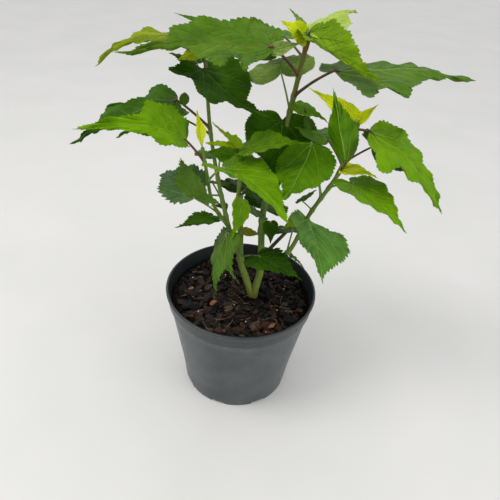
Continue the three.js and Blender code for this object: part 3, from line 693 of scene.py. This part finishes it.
for name, shoot in SHOOTS.items():
    rise = shoot["through"][-1][2] - shoot["through"][0][2]
    points, faces = tube(
        lambda t: along(shoot["through"], t), lambda t: shoot_radius(name, t), int(rise / LIMB_STEP),
        LIMB_SIDES, ridge=0.035)
    limb = add_mesh("shoot_" + name, points, faces, [dry_wood if name == "stub" else rind], sharp=60)
    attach(limb, "root")
    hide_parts(shoot["kind"] + "_" + name)


# The leaf blades: thin lobed or heart-shaped sheets with toothed margins and palmate
# veins. The skin puffs up between the veins and ripples a little towards the margin.

# Three half outlines of a blade 1 long and 1 wide, from the tip to the petiole: without
# lobes, with deep lobes, and with a rounded base. Then the number of points that belong to
# the base, the point of the lobe's tip, the corner where the margin bends back after it, and
# how lobed a leaf must be to have that corner.
PLAIN_HALF = [
    (1, 0), (0.8, 0.08), (0.62, 0.21), (0.44, 0.36), (0.24, 0.48),
    (0.03, 0.47), (-0.1, 0.33), (-0.11, 0.1), (0, 0),
]
LOBED_HALF = [
    (1, 0), (0.78, 0.1), (0.58, 0.2), (0.43, 0.5), (0.24, 0.46),
    (0.04, 0.43), (-0.1, 0.31), (-0.11, 0.1), (0, 0),
]
ROUND_HALF = [
    (1, 0), (0.8, 0.08), (0.62, 0.21), (0.44, 0.36), (0.27, 0.45),
    (0.12, 0.42), (0.03, 0.27), (0, 0.1), (0, 0),
]
BASE_POINTS = 5
LOBE_TIP = 3
LOBE_CORNER = 5
CORNERED_LOBES = 0.55

# How a blade is drawn: the steps of its midrib's arc and of each stretch of its margin, its
# thickness, the place that its rows of points close in on, and the distance between rows
# with their least and most count
SPINE_STEPS = 24
MARGIN_STEPS = 40
BLADE_THICKNESS = 0.45
BLADE_CENTRE = (0.2, 0.0)
ROW_STEP = 5
ROW_COUNTS = (5, 27)

# The teeth: their spacing as a share of the length, with its least and most in mm, their
# depth as a share of the spacing, and the steps of one tooth along the margin and inward.
# Old leaves low on the plant have coarser teeth.
TOOTH_SPACING = {"fine": 0.048, "coarse": 0.095}
TOOTH_LIMITS = (1.6, 6.5)
TOOTH_DEPTH = {"fine": 0.4, "coarse": 0.6}
TOOTH_PHASES = [(0.0, 0.0), (0.15, 1.0), (0.6, 0.4)]
TOOTHLESS_SHARE = 0.14
COARSE_LEAVES = [
    ("low_right", 222), ("left", 172), ("tall_left", 245), ("low_left", 230), ("left", 168),
    ("low_left", 224),
]


def blade_axes(leaf):
    """The directions along the midrib, to its left and out of the face."""
    a, e, r = (math.radians(leaf[key]) for key in ("turn", "dip", "roll"))
    forward = np.array([math.cos(e) * math.cos(a), math.cos(e) * math.sin(a), math.sin(e)])
    up = np.array([-math.sin(e) * math.cos(a), -math.sin(e) * math.sin(a), math.cos(e)])
    out = up * math.cos(r) + np.cross(up, forward) * math.sin(r)
    return forward, np.cross(out, forward), out


def blade_arc(droop):
    """The arc of a drooping midrib, scaled so that its chord is level and 1 long."""
    angles = math.radians(droop) * np.arange(SPINE_STEPS + 1) / SPINE_STEPS
    middles = (angles[1:] + angles[:-1]) / 2
    arc = np.zeros((SPINE_STEPS + 1, 2))
    arc[1:, 0] = np.cumsum(np.cos(middles)) / SPINE_STEPS
    arc[1:, 1] = -np.cumsum(np.sin(middles)) / SPINE_STEPS
    lift = math.atan2(arc[-1, 1], arc[-1, 0])
    c, s = np.array([math.cos(-lift), math.sin(-lift)]) / np.hypot(*arc[-1])
    return np.c_[arc[:, 0] * c - arc[:, 1] * s, arc[:, 0] * s + arc[:, 1] * c], angles + lift


def on_leaf(leaf, flat):
    """The places of flat points (shares of the length) on the leaf, and the directions out of it."""
    forward, side, out = blade_axes(leaf)
    arc, angles = blade_arc(leaf["droop"])
    fold = math.radians(leaf["fold"])
    x, y = flat[:, 0], flat[:, 1]
    steps = np.linspace(0, 1, SPINE_STEPS + 1)
    inside = np.clip(x, 0, 1)
    angle = np.interp(inside, steps, angles)
    ahead = np.interp(inside, steps, arc[:, 0]) + np.minimum(x, 0) * math.cos(angles[0])
    rise = np.interp(inside, steps, arc[:, 1]) - np.minimum(x, 0) * math.sin(angles[0])
    normal = np.outer(np.cos(angle), out) + np.outer(np.sin(angle), forward)
    wing = np.sqrt(y * y + 0.0004) - 0.02
    places = np.asarray(leaf["base"], float) + leaf["length"] * (
        np.outer(ahead, forward) + np.outer(rise, out) + np.outer(y * math.cos(fold), side)
        + (wing * math.sin(fold))[:, None] * normal)
    return places, normal


# The leaves that differ most from the rule: the left and the right margin of each between
# the petiole and the tip, in hundredths of its length. One row is for a folded-over lobe.
OUTLINES = {
    ("right", 368): (
        [(3, 8), (7, 15), (14, 22), (19, 31), (23, 40), (25, 30), (27, 23), (31, 26), (34, 32), (38, 35),
         (43, 32), (46, 26), (50, 18), (54, 11), (61, 7), (72, 4), (86, 2)],
        [(-5, 6), (-8, 14), (-6, 23), (0, 29), (8, 31), (13, 27), (22, 26), (37, 26), (46, 26), (50, 23),
         (57, 19), (64, 15), (66, 8), (70, 4), (78, 4), (88, 3)]),
    ("right", 347): (
        [(-4, 8), (-3, 22), (4, 34), (14, 40), (24, 40), (31, 33), (36, 25), (45, 22), (56, 23), (66, 27),
         (73, 24), (77, 14), (80, 7), (86, 6), (93, 4)],
        [(2, 11), (3, 25), (5, 35), (9, 39), (15, 35), (21, 32), (25, 42), (29, 44), (35, 37), (40, 30),
         (48, 21), (55, 17), (63, 15), (70, 10), (78, 7), (88, 7)]),
    ("low_right", 338): (
        [(0, 10), (3, 20), (10, 29), (19, 31), (27, 29), (36, 26), (46, 23), (55, 18), (62, 13), (72, 11),
         (82, 9), (91, 5)],
        [(1, 8), (4, 16), (9, 21), (13, 28), (18, 35), (24, 38), (28, 33), (31, 23), (36, 20), (43, 22),
         (49, 20), (57, 16), (66, 12), (76, 11), (87, 7)]),
    ("low_left", 295): (
        [(-1, 4), (5, 9), (14, 14), (22, 17), (34, 20), (43, 22), (48, 19), (51, 13), (56, 10), (64, 8),
         (74, 6), (86, 3)],
        [(-6, 7), (-6, 12), (0, 16), (13, 18), (29, 20), (42, 20), (50, 19), (52, 12), (56, 9), (64, 7),
         (74, 6), (86, 3)]),
    ("tall_left", 311): (
        [(-3, 6), (-4, 13), (2, 22), (12, 28), (24, 28), (36, 24), (48, 18), (60, 13), (70, 10), (80, 8),
         (91, 4)],
        [(0, 6), (2, 14), (7, 24), (13, 31), (20, 32), (26, 29), (30, 22), (36, 19), (43, 18), (50, 19),
         (57, 23), (63, 27), (67, 28), (69, 21), (71, 12), (76, 6), (86, 3)]),
    ("tall_left", 362): (
        [(-6, 8), (-8, 22), (-2, 38), (8, 46), (18, 44), (33, 39), (48, 29), (54, 20), (58, 13), (66, 9),
         (78, 6), (90, 4)],
        [(-8, 10), (-12, 24), (-9, 40), (-3, 53), (5, 38), (12, 32), (22, 35), (36, 41), (46, 42),
         (52, 37), (54, 26), (58, 15), (69, 12), (80, 7), (92, 4)]),
    ("low_right", 222): (
        [(0, 12), (2, 28), (1, 42), (-1, 52), (3, 60), (14, 65), (29, 64), (38, 59), (52, 47), (63, 33),
         (77, 16), (88, 6)],
        [(-6, 9), (-5, 20), (4, 32), (18, 45), (34, 56), (41, 51), (50, 43), (58, 43), (69, 38), (68, 27),
         (67, 20), (73, 19), (79, 10), (88, 4)]),
    ("low_left", 311): (
        [(8, 3), (18, 9), (30, 15), (42, 19), (54, 17), (66, 12), (78, 7), (90, 3)],
        [(8, 4), (18, 10), (30, 17), (42, 20), (54, 16), (66, 10), (78, 5), (90, 3)]),
    ("low_left", 230): (
        [(-2, 12), (-4, 30), (0, 45), (6, 57), (14, 46), (20, 36), (28, 32), (45, 29), (69, 18), (86, 8)],
        [(5, 14), (15, 28), (33, 35), (50, 27), (71, 16), (88, 7)]),
    ("tall_left", 0): (
        [(5, 20), (20, 38), (45, 45), (70, 40), (88, 25), (97, 10)],
        [(5, 20), (20, 38), (45, 45), (70, 40), (88, 25), (97, 10)]),
    ("left", 300): (
        [(4, 8), (14, 12), (28, 12), (42, 8), (56, 5), (75, 3)],
        [(5, 9), (14, 15), (26, 17), (32, 19), (38, 12), (50, 9), (54, 10), (60, 5), (76, 3)]),
    ("left", 299): (
        [(6, 3), (20, 5), (40, 6), (60, 6), (80, 5)],
        [(4, 8), (14, 14), (24, 16), (34, 13), (40, 15), (52, 11), (66, 12), (80, 7), (92, 4)]),
    ("left", 168): (
        [(-7, 6), (-12, 14), (-12, 22), (-6, 30), (6, 34), (15, 34), (22, 37), (30, 46), (37, 54),
         (37, 44), (36, 33), (40, 26), (48, 24), (63, 17), (80, 8), (90, 4)],
        [(-6, 6), (-8, 16), (-2, 27), (8, 35), (18, 38), (29, 39), (33, 29), (38, 28), (45, 29), (57, 26),
         (64, 20), (72, 11), (85, 6)]),
    ("low_left", 273): (
        [(-8, 10), (-13, 22), (-14, 34), (-9, 47), (3, 51), (14, 49), (33, 43), (50, 34), (65, 24),
         (78, 14), (90, 6)],
        [(-8, 10), (-10, 24), (-2, 38), (12, 48), (25, 53), (36, 52), (40, 40), (44, 27), (50, 28),
         (58, 31), (65, 28), (70, 19), (76, 14), (86, 12), (94, 6)]),
}


def half_outline(leaf, side):
    """The outline of one half, from the petiole to the tip."""
    if (leaf["shoot"], leaf["up"]) in OUTLINES:
        own = OUTLINES[leaf["shoot"], leaf["up"]][side]
        return [(x / 100, y / 100) for x, y in [(0, 0), *own, (100, 0)]]
    half = np.array(PLAIN_HALF) * (1 - leaf["lobes"]) + np.array(LOBED_HALF) * leaf["lobes"]
    rounded = np.array(ROUND_HALF)
    half[-BASE_POINTS:] = rounded[-BASE_POINTS:] + (half - rounded)[-BASE_POINTS:] * leaf["heart"]
    return (half * (1, leaf["width"]))[::-1].tolist()


def half_margin(leaf, side, draw):
    """The smooth and the toothed margin of one half, from the petiole to the tip."""
    half = half_outline(leaf, side)
    cornered = leaf["lobes"] > CORNERED_LOBES and len(half) == len(PLAIN_HALF)
    parts = [half[:LOBE_CORNER + 1], half[LOBE_CORNER:]] if cornered else [half]
    fine = np.concatenate([
        [along(part, t) for t in np.linspace(0, 1, MARGIN_STEPS * len(part))] for part in parts])
    run = np.r_[0, np.cumsum(np.hypot(*np.diff(fine, axis=0).T))] * leaf["length"]
    keep = np.r_[True, np.diff(run) > 1e-6]
    fine, run = fine[keep], run[keep]
    ahead = np.gradient(fine, axis=0)
    ahead /= np.hypot(*ahead.T)[:, None]
    kind = "coarse" if (leaf["shoot"], leaf["up"]) in COARSE_LEAVES else "fine"
    least, most = TOOTH_LIMITS
    spacing = min(max(TOOTH_SPACING[kind] * leaf["length"], least), most)
    end = run[-1]
    start = end * TOOTHLESS_SHARE
    marks = [(start * share, 0.0) for share in (0.0, 0.2, 0.4, 0.6, 0.8)]
    at = start
    while at < end - 0.7 * spacing:
        step = min(spacing * (0.7 + 0.6 * next(draw)) * (1 - 0.4 * at / end), end - at)
        growth = min(1.0, (at - start) / spacing + 0.3)
        depth = TOOTH_DEPTH[kind] * step * growth * (0.7 + 0.5 * next(draw))
        marks += [(at + phase * step, inward * depth) for phase, inward in TOOTH_PHASES]
        at += step
    marks.append((end, 0.0))
    s, inward = np.array(marks).T
    smooth = np.c_[np.interp(s, run, fine[:, 0]), np.interp(s, run, fine[:, 1])]
    heading = np.c_[np.interp(s, run, ahead[:, 0]), np.interp(s, run, ahead[:, 1])]
    bite = (inward / leaf["length"])[:, None] * np.c_[heading[:, 1], -heading[:, 0]]
    return smooth, smooth + bite


# The veins: low ridges on the upper face and higher ones underneath. A midrib and three
# pairs of main veins leave the petiole. The midrib bears six pairs of side veins, and the
# two foremost pairs of main veins bear finer ones.

# A main vein: its angle, how much of the way to the margin it runs, and its width. A fine
# vein: its angle to its bearer, the same share, its bend, its width and its greatest length.
# Angles are in radians, and widths are in millimetres on a leaf of 100 mm.
MIDRIB_WIDTH = 1.4
LOBE_VEIN = (0.93, 1.0)
BASE_VEINS = [(1.42, 0.86, 0.7), (1.98, 0.8, 0.45)]
SIDE_PAIRS = 6
SIDE_FIRST = 0.2
SIDE_APART = 0.115
SIDE_ANGLE = 0.86
SIDE_REACH = 0.88
FINE_PLACES = (0.3, 0.5, 0.7)
FINE_VEINS = [(0.7, 0.84, 0.15, 0.35, 0.3), (-0.62, 0.7, 0.12, 0.28, 0.17)]
VEIN_RISE = 0.12
VEIN_ROOT = 0.1
VEIN_POINTS = 15

# The skin's relief: the depth and the width of the dip along a vein, at the least and by
# the leaf's length, the ripple of the margin and the swell between, as shares of the length
DIP_DEPTH = (0.3, 0.011, 1.6)
DIP_WIDTH = (0.7, 0.022)
RIPPLE = 0.014
RIPPLES = 11
SWELL = 0.02
SWELL_SIZE = 22
FULL_TURN = 6.28


def reach(start, angle, margin):
    """How far a straight line from a place inside the margin runs before it meets it."""
    d = np.array([math.cos(angle), math.sin(angle)])
    loop = np.vstack([margin, [[0.0, 0.0]]])
    e = np.roll(loop, -1, axis=0) - loop
    cross = d[0] * e[:, 1] - d[1] * e[:, 0]
    cross[np.abs(cross) < 1e-12] = 1e-12
    w = loop - start
    t = (w[:, 0] * e[:, 1] - w[:, 1] * e[:, 0]) / cross
    u = (w[:, 0] * d[1] - w[:, 1] * d[0]) / cross
    hits = t[(t > 0.01) & (u >= -1e-6) & (u <= 1 + 1e-6)]
    return hits.min() if len(hits) else 0.05


def vein_lines(leaf, margin, draw):
    """The veins as flat curves with their widths in millimetres at the start and the end."""
    scale = leaf["length"] / 100
    ts = np.linspace(0, 1, VEIN_POINTS)[:, None]
    lines = [(np.c_[ts * 0.97, 0.004 * np.sin(9 * ts)], MIDRIB_WIDTH * scale + 0.3, 0.3)]

    def add_vein(start, angle, share, bend, widths, most=9.0):
        far = min(share * reach(start, angle, margin), most)
        angles = angle + bend * (1 - ts) * 2 - bend
        lines.append((start + far * ts * np.c_[np.cos(angles), np.sin(angles)], *widths))
        return lines[-1][0]

    ahead, plain = PLAIN_HALF[LOBE_TIP]
    lobe = mix(plain, LOBED_HALF[LOBE_TIP][1], leaf["lobes"]) * leaf["width"]
    for sign in (-1, 1):
        for angle, share, width in [(math.atan2(lobe, ahead), *LOBE_VEIN), *BASE_VEINS]:
            line = add_vein(np.zeros(2), sign * angle, share, sign * 0.1, (width * scale + 0.2, 0.2))
            for place in FINE_PLACES if angle < BASE_VEINS[-1][0] else ():
                start = line[int(place * (VEIN_POINTS - 1))]
                for aside, share, bend, wide, most in FINE_VEINS:
                    widths = (wide * scale + 0.12, 0.14)
                    add_vein(start, sign * (angle + aside), share, sign * bend, widths, most)
        for i in range(SIDE_PAIRS):
            start = np.array([SIDE_FIRST + SIDE_APART * i + 0.03 * sign + 0.02 * next(draw), 0.0])
            angle = sign * (SIDE_ANGLE - 0.03 * i + 0.08 * next(draw))
            widths = ((0.6 - 0.05 * i) * scale + 0.14, 0.16)
            add_vein(start, angle, SIDE_REACH, sign * 0.14, widths)
    return lines


def from_lines(flat, lines):
    """The distance from each flat point to the nearest vein."""
    nearest = np.full(len(flat), 9.0)
    for line, _, _ in lines:
        a, b = line[:-1], line[1:]
        e = b - a
        t = ((flat[:, None] - a) * e).sum(2) / (e * e).sum(1)
        gap = flat[:, None] - (a + np.clip(t, 0, 1)[:, :, None] * e)
        nearest = np.minimum(nearest, np.hypot(gap[:, :, 0], gap[:, :, 1]).min(1))
    return nearest


def blade_grids(leaf, margin, toothed, lines, draw):
    """Rows of points on the upper and the under face, and their normals, from centre to margin."""
    length = leaf["length"]
    count = len(margin) - 1
    least, most = ROW_COUNTS
    rows = int(min(max(length / ROW_STEP, least), most))
    shares = np.linspace(0, 1, rows + 1)
    bitten = margin + (toothed - margin) * shares[:, None, None] ** 6
    flat = (BLADE_CENTRE + (bitten - BLADE_CENTRE) * shares[:, None, None]).reshape(-1, 2)
    places, normals = on_leaf(leaf, flat)
    gap = from_lines(flat, lines) * length
    deep = min(DIP_DEPTH[0] + DIP_DEPTH[1] * length, DIP_DEPTH[2])
    sunk = -deep * np.exp(-(gap / (DIP_WIDTH[0] + DIP_WIDTH[1] * length)) ** 2)
    share = np.repeat(shares, count + 1)
    column = np.tile(np.arange(count + 1), rows + 1)
    phase = FULL_TURN * next(draw)
    ripple = RIPPLE * length * share ** 3 * np.sin(column * FULL_TURN * RIPPLES / count + phase)
    seed = 40 * next(draw)
    puffs = [noise.noise(Vector((*(place * length / SWELL_SIZE), seed))) for place in flat]
    swell = SWELL * length * np.array(puffs)
    free = np.clip(8 * np.hypot(*flat.T), 0, 1)
    top = places + normals * ((sunk + ripple + swell) * free)[:, None]
    under = top - normals * BLADE_THICKNESS
    return [grid.reshape(rows + 1, count + 1, 3) for grid in (top, under, normals)]


def blade_shape(top, under):
    """Points and faces of a closed blade between the grids of its two faces."""
    rows, count = top.shape[0] - 1, top.shape[1] - 1
    points = np.vstack([
        grid for face in (top, under) for grid in (face[0, :1], face[1:, :-1].reshape(-1, 3))])
    below = len(points) // 2
    grid = 1 + np.arange(rows * count).reshape(rows, count)
    onward = np.roll(grid, -1, axis=1)
    quads = np.stack([grid[:-1], onward[:-1], onward[1:], grid[1:]], axis=2).reshape(-1, 4)
    faces = quads.tolist() + (quads[:, ::-1] + below).tolist()
    for j in range(count):
        k = (j + 1) % count
        faces.append([0, grid[0, k], grid[0, j]])
        faces.append([below, grid[0, j] + below, grid[0, k] + below])
        faces.append([grid[-1, j], grid[-1, k], grid[-1, k] + below, grid[-1, j] + below])
    return points, faces


def vein_shape(line, wide, narrow, spokes, turns, top, normals, length):
    """Points and faces of one vein, laid along a flat curve on the upper face of a blade."""
    rows, count = top.shape[0] - 1, top.shape[1] - 1
    line = line[np.hypot(*line.T) > 0.004]
    steps = max(3, min(len(line), int(np.hypot(*(line[-1] - line[0])) * length / 2.5)))
    old, new = np.linspace(0, 1, len(line)), np.linspace(0, 1, steps)
    from_centre = np.c_[np.interp(new, old, line[:, 0]), np.interp(new, old, line[:, 1])] - BLADE_CENTRE
    spot = np.interp(-np.arctan2(from_centre[:, 1], from_centre[:, 0]), turns, np.arange(count + 1))
    j = np.clip(spot.astype(int), 0, count - 1)
    f = (spot - j)[:, None]
    edge = spokes[j] * (1 - f) + spokes[j + 1] * f
    level = np.clip(np.hypot(*from_centre.T) / np.hypot(*edge.T), 0, 0.96) * rows
    i = np.clip(level.astype(int), 0, rows - 1)
    g = (level - i)[:, None]
    centre, out = (
        (table[i, j] * (1 - f) + table[i, j + 1] * f) * (1 - g)
        + (table[i + 1, j] * (1 - f) + table[i + 1, j + 1] * f) * g for table in (top, normals))
    across = np.cross(out, np.gradient(centre, axis=0))
    across /= np.linalg.norm(across, axis=1)[:, None] + 1e-9
    half = np.linspace(wide, narrow, steps)[:, None] / 2
    ring = np.stack([
        centre - across * half - out * VEIN_ROOT, centre + out * (VEIN_RISE + 0.3 * half),
        centre + across * half - out * VEIN_ROOT, centre - out * (BLADE_THICKNESS + 0.9 * half)], axis=1)
    strip = []
    for k in range(0, 4 * steps - 4, 4):
        for m in range(4):
            n = (m + 1) % 4
            strip.append((k + m, k + 4 + m, k + 4 + n, k + n))
    strip += [(0, 1, 2, 3), (4 * steps - 1, 4 * steps - 2, 4 * steps - 3, 4 * steps - 4)]
    return ring.reshape(-1, 3), strip


def grow_blade(leaf, draw, blades, veins):
    """Adds a leaf's blade and its raised veins to their heaps."""
    left, left_toothed = half_margin(leaf, 0, draw)
    right, right_toothed = half_margin(leaf, 1, draw)
    margin = np.vstack([left, right[:-1][::-1] * (1, -1)])
    toothed = np.vstack([left_toothed, right_toothed[:-1][::-1] * (1, -1)])
    lines = vein_lines(leaf, margin, draw)
    top, under, normals = blade_grids(leaf, margin, toothed, lines, draw)
    tint = list(LEAF_TINTS).index(leaf["tint"])
    blades.add(*blade_shape(top, under), tint)
    spokes = margin - BLADE_CENTRE
    turns = np.linspace(0, 1e-6, len(margin)) - np.unwrap(np.arctan2(spokes[:, 1], spokes[:, 0]))
    for number, (line, wide, narrow) in enumerate(lines):
        reddened = leaf["tint"] == "ribbed" and number == 0
        shape = vein_shape(line, wide, narrow, spokes, turns, top, normals, leaf["length"])
        veins.add(*shape, len(LEAF_TINTS) if reddened else tint)


# Folded-over lobes and loose young leaves that have no stalk of their own in sight
CURLS = {
    "right": [
        (0, (11, -11, 395), 8, 17, -62, 27, 0.5, 0.1, 0.4, -10, 12, "pale"),
        (0, (14, -5, 391), 188, -16, 50, 23, 0.45, 0, 0.5, 10, 10, "slate"),
        (0, (-50, 10, 409), 178, 12, 65, 24, 0.2, 0, 0.3, -20, 10, "mid"),
        (0, (53, 10, 322), 150, 68, 60, 22, 0.4, 0.2, 0.5, 30, 15, "slate"),
    ],
    "tall_left": [
        (0, (-66, 10, 335), 80, 66, 8, 12, 0.95, 0, 1, 30, -10, "slate"),
    ],
    "low_right": [
        (0, (88, -14, 340), 150, 38, 60, 22, 0.4, 0.2, 0.5, 10, 10, "young"),
        (0, (76, 28, 202), -60, -72, 0, 17, 0.5, 0.1, 0.5, 10, 10, "lime"),
        (0, (56, 2, 231), -174, -44, 50, 26, 0.6, 0.2, 0.5, 10, 10, "fresh"),
    ],
}

# Each tint: the dark, middle and light green of the skin, and the green of its veins
LEAF_TINTS = {
    "dark": ("#1f3e02", "#305602", "#446f0a", "#587a2a"),
    "mid": ("#305802", "#4b7803", "#64900e", "#7a9a38"),
    "ribbed": ("#375a0b", "#486b11", "#607e26", "#3a5910"),
    "slate": ("#35540c", "#496c1a", "#607e30", "#748e44"),
    "bright": ("#4a7204", "#639008", "#7aa60c", "#84a82a"),
    "lime": ("#527408", "#6b8c0c", "#84a21c", "#3c570a"),
    "citron": ("#56680a", "#70840c", "#8c9c24", "#4a5410"),
    # Painted light: this tint's pale yellow-green is brightened to stand in for the light that shines
    # through the thin blades
    "young": ("#b4c40c", "#d2e014", "#e6f040", "#a8b41c"),
    "fresh": ("#74980a", "#8eb00c", "#a8c41c", "#a8b830"),
    "olive": ("#6c740c", "#868c12", "#a0a030", "#a09c3a"),
    "blue": ("#3c5e2c", "#527440", "#6c8a56", "#90a878"),
    "grey": ("#3e6a1c", "#54842c", "#70983c", "#93b264"),
    "pale": ("#587830", "#74903c", "#92a85c", "#56702c"),
    "wan": ("#86a034", "#a2b850", "#bccc7c", "#7c9040"),
}
blade_skins, vein_skins = [], []
for tint, (deep, middle, bright, rib) in LEAF_TINTS.items():
    # Leaf skin: a soft satin over a mottled green, with a net of fine veins that dimples
    # it. Its meshes are 2.4 mm wide, coarser than in life, so that they show.
    skin, tree, where = new_material("leaf_skin_" + tint)
    mottle = add_node(tree, "TexNoise", {
        "Vector": where, "Scale": 1 / (24 * MM), "Detail": 6.0, "Roughness": 0.62})
    tone = add_node(tree, "ValToRGB", {"Fac": mottle}, [(0.3, deep), (0.5, middle), (0.72, bright)])
    net = add_node(tree, "TexVoronoi", {
        "Vector": where, "Scale": 1 / (2.4 * MM)}, feature="DISTANCE_TO_EDGE")
    threads = add_node(tree, "MapRange", {"Value": net, "From Max": 0.12, "To Min": 0.22, "To Max": 0.0})
    netted = add_node(tree, "Mix", {
        "Factor": threads, COLOUR_A: tone, COLOUR_B: bright}, data_type="RGBA")
    relief = add_node(tree, "Bump", {"Height": net, "Strength": 0.35, "Distance": 0.35 * MM})
    gloss = add_node(tree, "MapRange", {
        "Value": mottle, "From Min": 0.3, "From Max": 0.7, "To Min": 0.42, "To Max": 0.56})
    cells = add_node(tree, "BsdfPrincipled", {
        "Base Color": netted, "Roughness": gloss, "Specular IOR Level": 0.05, "Normal": relief})
    add_node(tree, "OutputMaterial", {"Surface": cells})
    blade_skins.append(skin)

    # Vein: smooth, paler than the blade on most leaves and darker on the others
    vein_skins.append(mottled_material(
        "leaf_vein_" + tint, 12, 3.0, [(0.22, middle), (0.42, rib)],
        {"Roughness": 0.5, "Specular IOR Level": 0.16}))

# The red-brown midrib of the largest leaf, greener where the colour runs out
vein_skins.append(mottled_material(
    "leaf_midrib_russet", 7, 3.0, [(0.4, "#66451c"), (0.62, "#5c6a1c")],
    {"Roughness": 0.5, "Specular IOR Level": 0.16}))

draw = seeded(977)
bearing = [name for name in SHOOTS if name in LEAVES]
masses = {
    name: [
        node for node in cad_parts
        if node == "foliage_" + name or node.startswith("leaf_" + name + "_")]
    for name in bearing}
for name in bearing:
    blades, veins = Heap(), Heap()
    for leaf in leaves + seen_leaves(CURLS):
        if leaf["shoot"] == name:
            grow_blade(leaf, draw, blades, veins)
    pieces = [
        blades.mesh("blades_" + name, blade_skins, sharp=70),
        veins.mesh("veins_" + name, vein_skins, sharp=50)]
    for piece in pieces:
        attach(piece, "root")
        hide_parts(*masses[name])


# The petioles: round leaf stalks that rise from the nodes and end under the midrib. Those
# of the large leaves high on the plant are red-brown, the others are green.
PETIOLE_LEAST = 0.55
PETIOLE_GROWTH = 0.0055
PETIOLE_ARCH = 0.03
PETIOLE_ROOT = 0.05
PETIOLE_STEPS = 18
PETIOLE_SIDES = 10
RED_ABOVE = 285
RED_LENGTH = 60

petiole_rinds = []
for name, low, high in (("red", "#3a1d14", "#6b4a2a"), ("green", "#5f7f2c", "#8fa84c")):
    # Petiole rind: smooth and moist, cloudy in colour, with a fine grain
    stalk, tree, where = new_material("petiole_rind_" + name)
    patchy = add_node(tree, "TexNoise", {"Vector": where, "Scale": 1 / (9 * MM), "Detail": 4.0})
    tone = add_node(tree, "ValToRGB", {"Fac": patchy}, [(0.38, low), (0.7, high)])
    ribs = add_node(tree, "TexNoise", {"Vector": where, "Scale": 1 / (0.8 * MM), "Detail": 2.0})
    relief = add_node(tree, "Bump", {"Height": ribs, "Strength": 0.2, "Distance": 0.2 * MM})
    flesh = add_node(tree, "BsdfPrincipled", {"Base Color": tone, "Roughness": 0.45, "Normal": relief})
    add_node(tree, "OutputMaterial", {"Surface": flesh})
    petiole_rinds.append(stalk)


def petiole_path(leaf):
    """The places that a petiole passes through, from its node to under the midrib."""
    through = SHOOTS[leaf["shoot"]]["through"]
    node = along(through, at_height(through, leaf["up"]))
    base = np.asarray(leaf["base"], float)
    middle = (node + base) / 2
    middle[2] += PETIOLE_ARCH * np.linalg.norm(base - node)
    root, out = on_leaf(leaf, np.array([[PETIOLE_ROOT, 0.0]]))
    radius = PETIOLE_LEAST + PETIOLE_GROWTH * leaf["length"]
    return [node, middle, base, root[0] - out[0] * radius * 1.2], radius


def petiole_share(t):
    """The radius along a petiole, as a share of its own: an even taper with a thick foot."""
    return mix(1.1, 0.8, t) * (1 + 0.9 * math.exp(-t / 0.05))


for name in bearing:
    stalks = Heap()
    for leaf in leaves:
        if leaf["shoot"] != name:
            continue
        path, radius = petiole_path(leaf)
        points, faces = tube(
            lambda t: along(path, t), lambda t: radius * petiole_share(t), PETIOLE_STEPS, PETIOLE_SIDES)
        red = leaf["up"] > RED_ABOVE and leaf["length"] > RED_LENGTH
        stalks.add(points, faces, 0 if red else 1)
    piece = stalks.mesh("petioles_" + name, petiole_rinds, sharp=60)
    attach(piece, "root")
    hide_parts(*masses[name])


# The studio: a pale matt floor, a broad soft light high on the left, a weaker one from the
# right, and a pale sky that fills the shadows. The lights and the camera have their
# places and sizes in metres.
paper = mottled_material(
    "studio_paper_matt", 160, 3.0, [(0.3, "#d8d7d2"), (0.7, "#dedcd8")], {"Roughness": 0.6})
floor = add_mesh("studio_floor", [
    (-9000, -3000, 0), (9000, -3000, 0), (9000, 12000, 0), (-9000, 12000, 0)], [(0, 1, 2, 3)], [paper])

for name, place, aim, size, power in [
    ("softbox_key", (-0.75, -0.3, 1.5), (0, 0, 0.2), 0.6, 9.5),
    ("softbox_right", (1.5, -0.8, 0.8), (0, 0, 0.15), 1.0, 6.5),
]:
    lamp = bpy.data.lights.new(name, "AREA")
    lamp.size = size
    lamp.energy = power
    light = bpy.data.objects.new(name, lamp)
    light.location = place
    light.rotation_mode = "QUATERNION"
    light.rotation_quaternion = (Vector(aim) - Vector(place)).to_track_quat("-Z", "Y")
    bpy.context.scene.collection.objects.link(light)

sky = bpy.data.worlds.new("studio_sky")
sky.use_nodes = True
sky.node_tree.nodes.clear()
glow = add_node(sky.node_tree, "Background", {"Color": "#f4f5f8", "Strength": 0.93})
add_node(sky.node_tree, "OutputWorld", {"Surface": glow})
bpy.context.scene.world = sky
bpy.context.scene.view_settings.view_transform = "Standard"

# The camera: in front of the pot and above the crown, looking down at it and rolled a few
# degrees
CAMERA_PLACE = Vector((0.0040, -0.4486, 0.5019))
CAMERA_RIGHT = Vector((0.9969, 0.0413, 0.0667))
CAMERA_UP = Vector((-0.0783, 0.5767, 0.8133))
CAMERA_AHEAD = Vector((0.0048, 0.8160, -0.5781))
lens = bpy.data.cameras.new("studio_camera")
lens.sensor_width = 36.0
lens.lens = 36.5
camera = bpy.data.objects.new("studio_camera", lens)
camera.rotation_mode = "QUATERNION"
camera.location = CAMERA_PLACE
turn = np.array([CAMERA_RIGHT, CAMERA_UP, -CAMERA_AHEAD]).T
camera.rotation_quaternion = Matrix(turn.tolist()).to_quaternion()
bpy.context.scene.collection.objects.link(camera)
bpy.context.scene.camera = camera
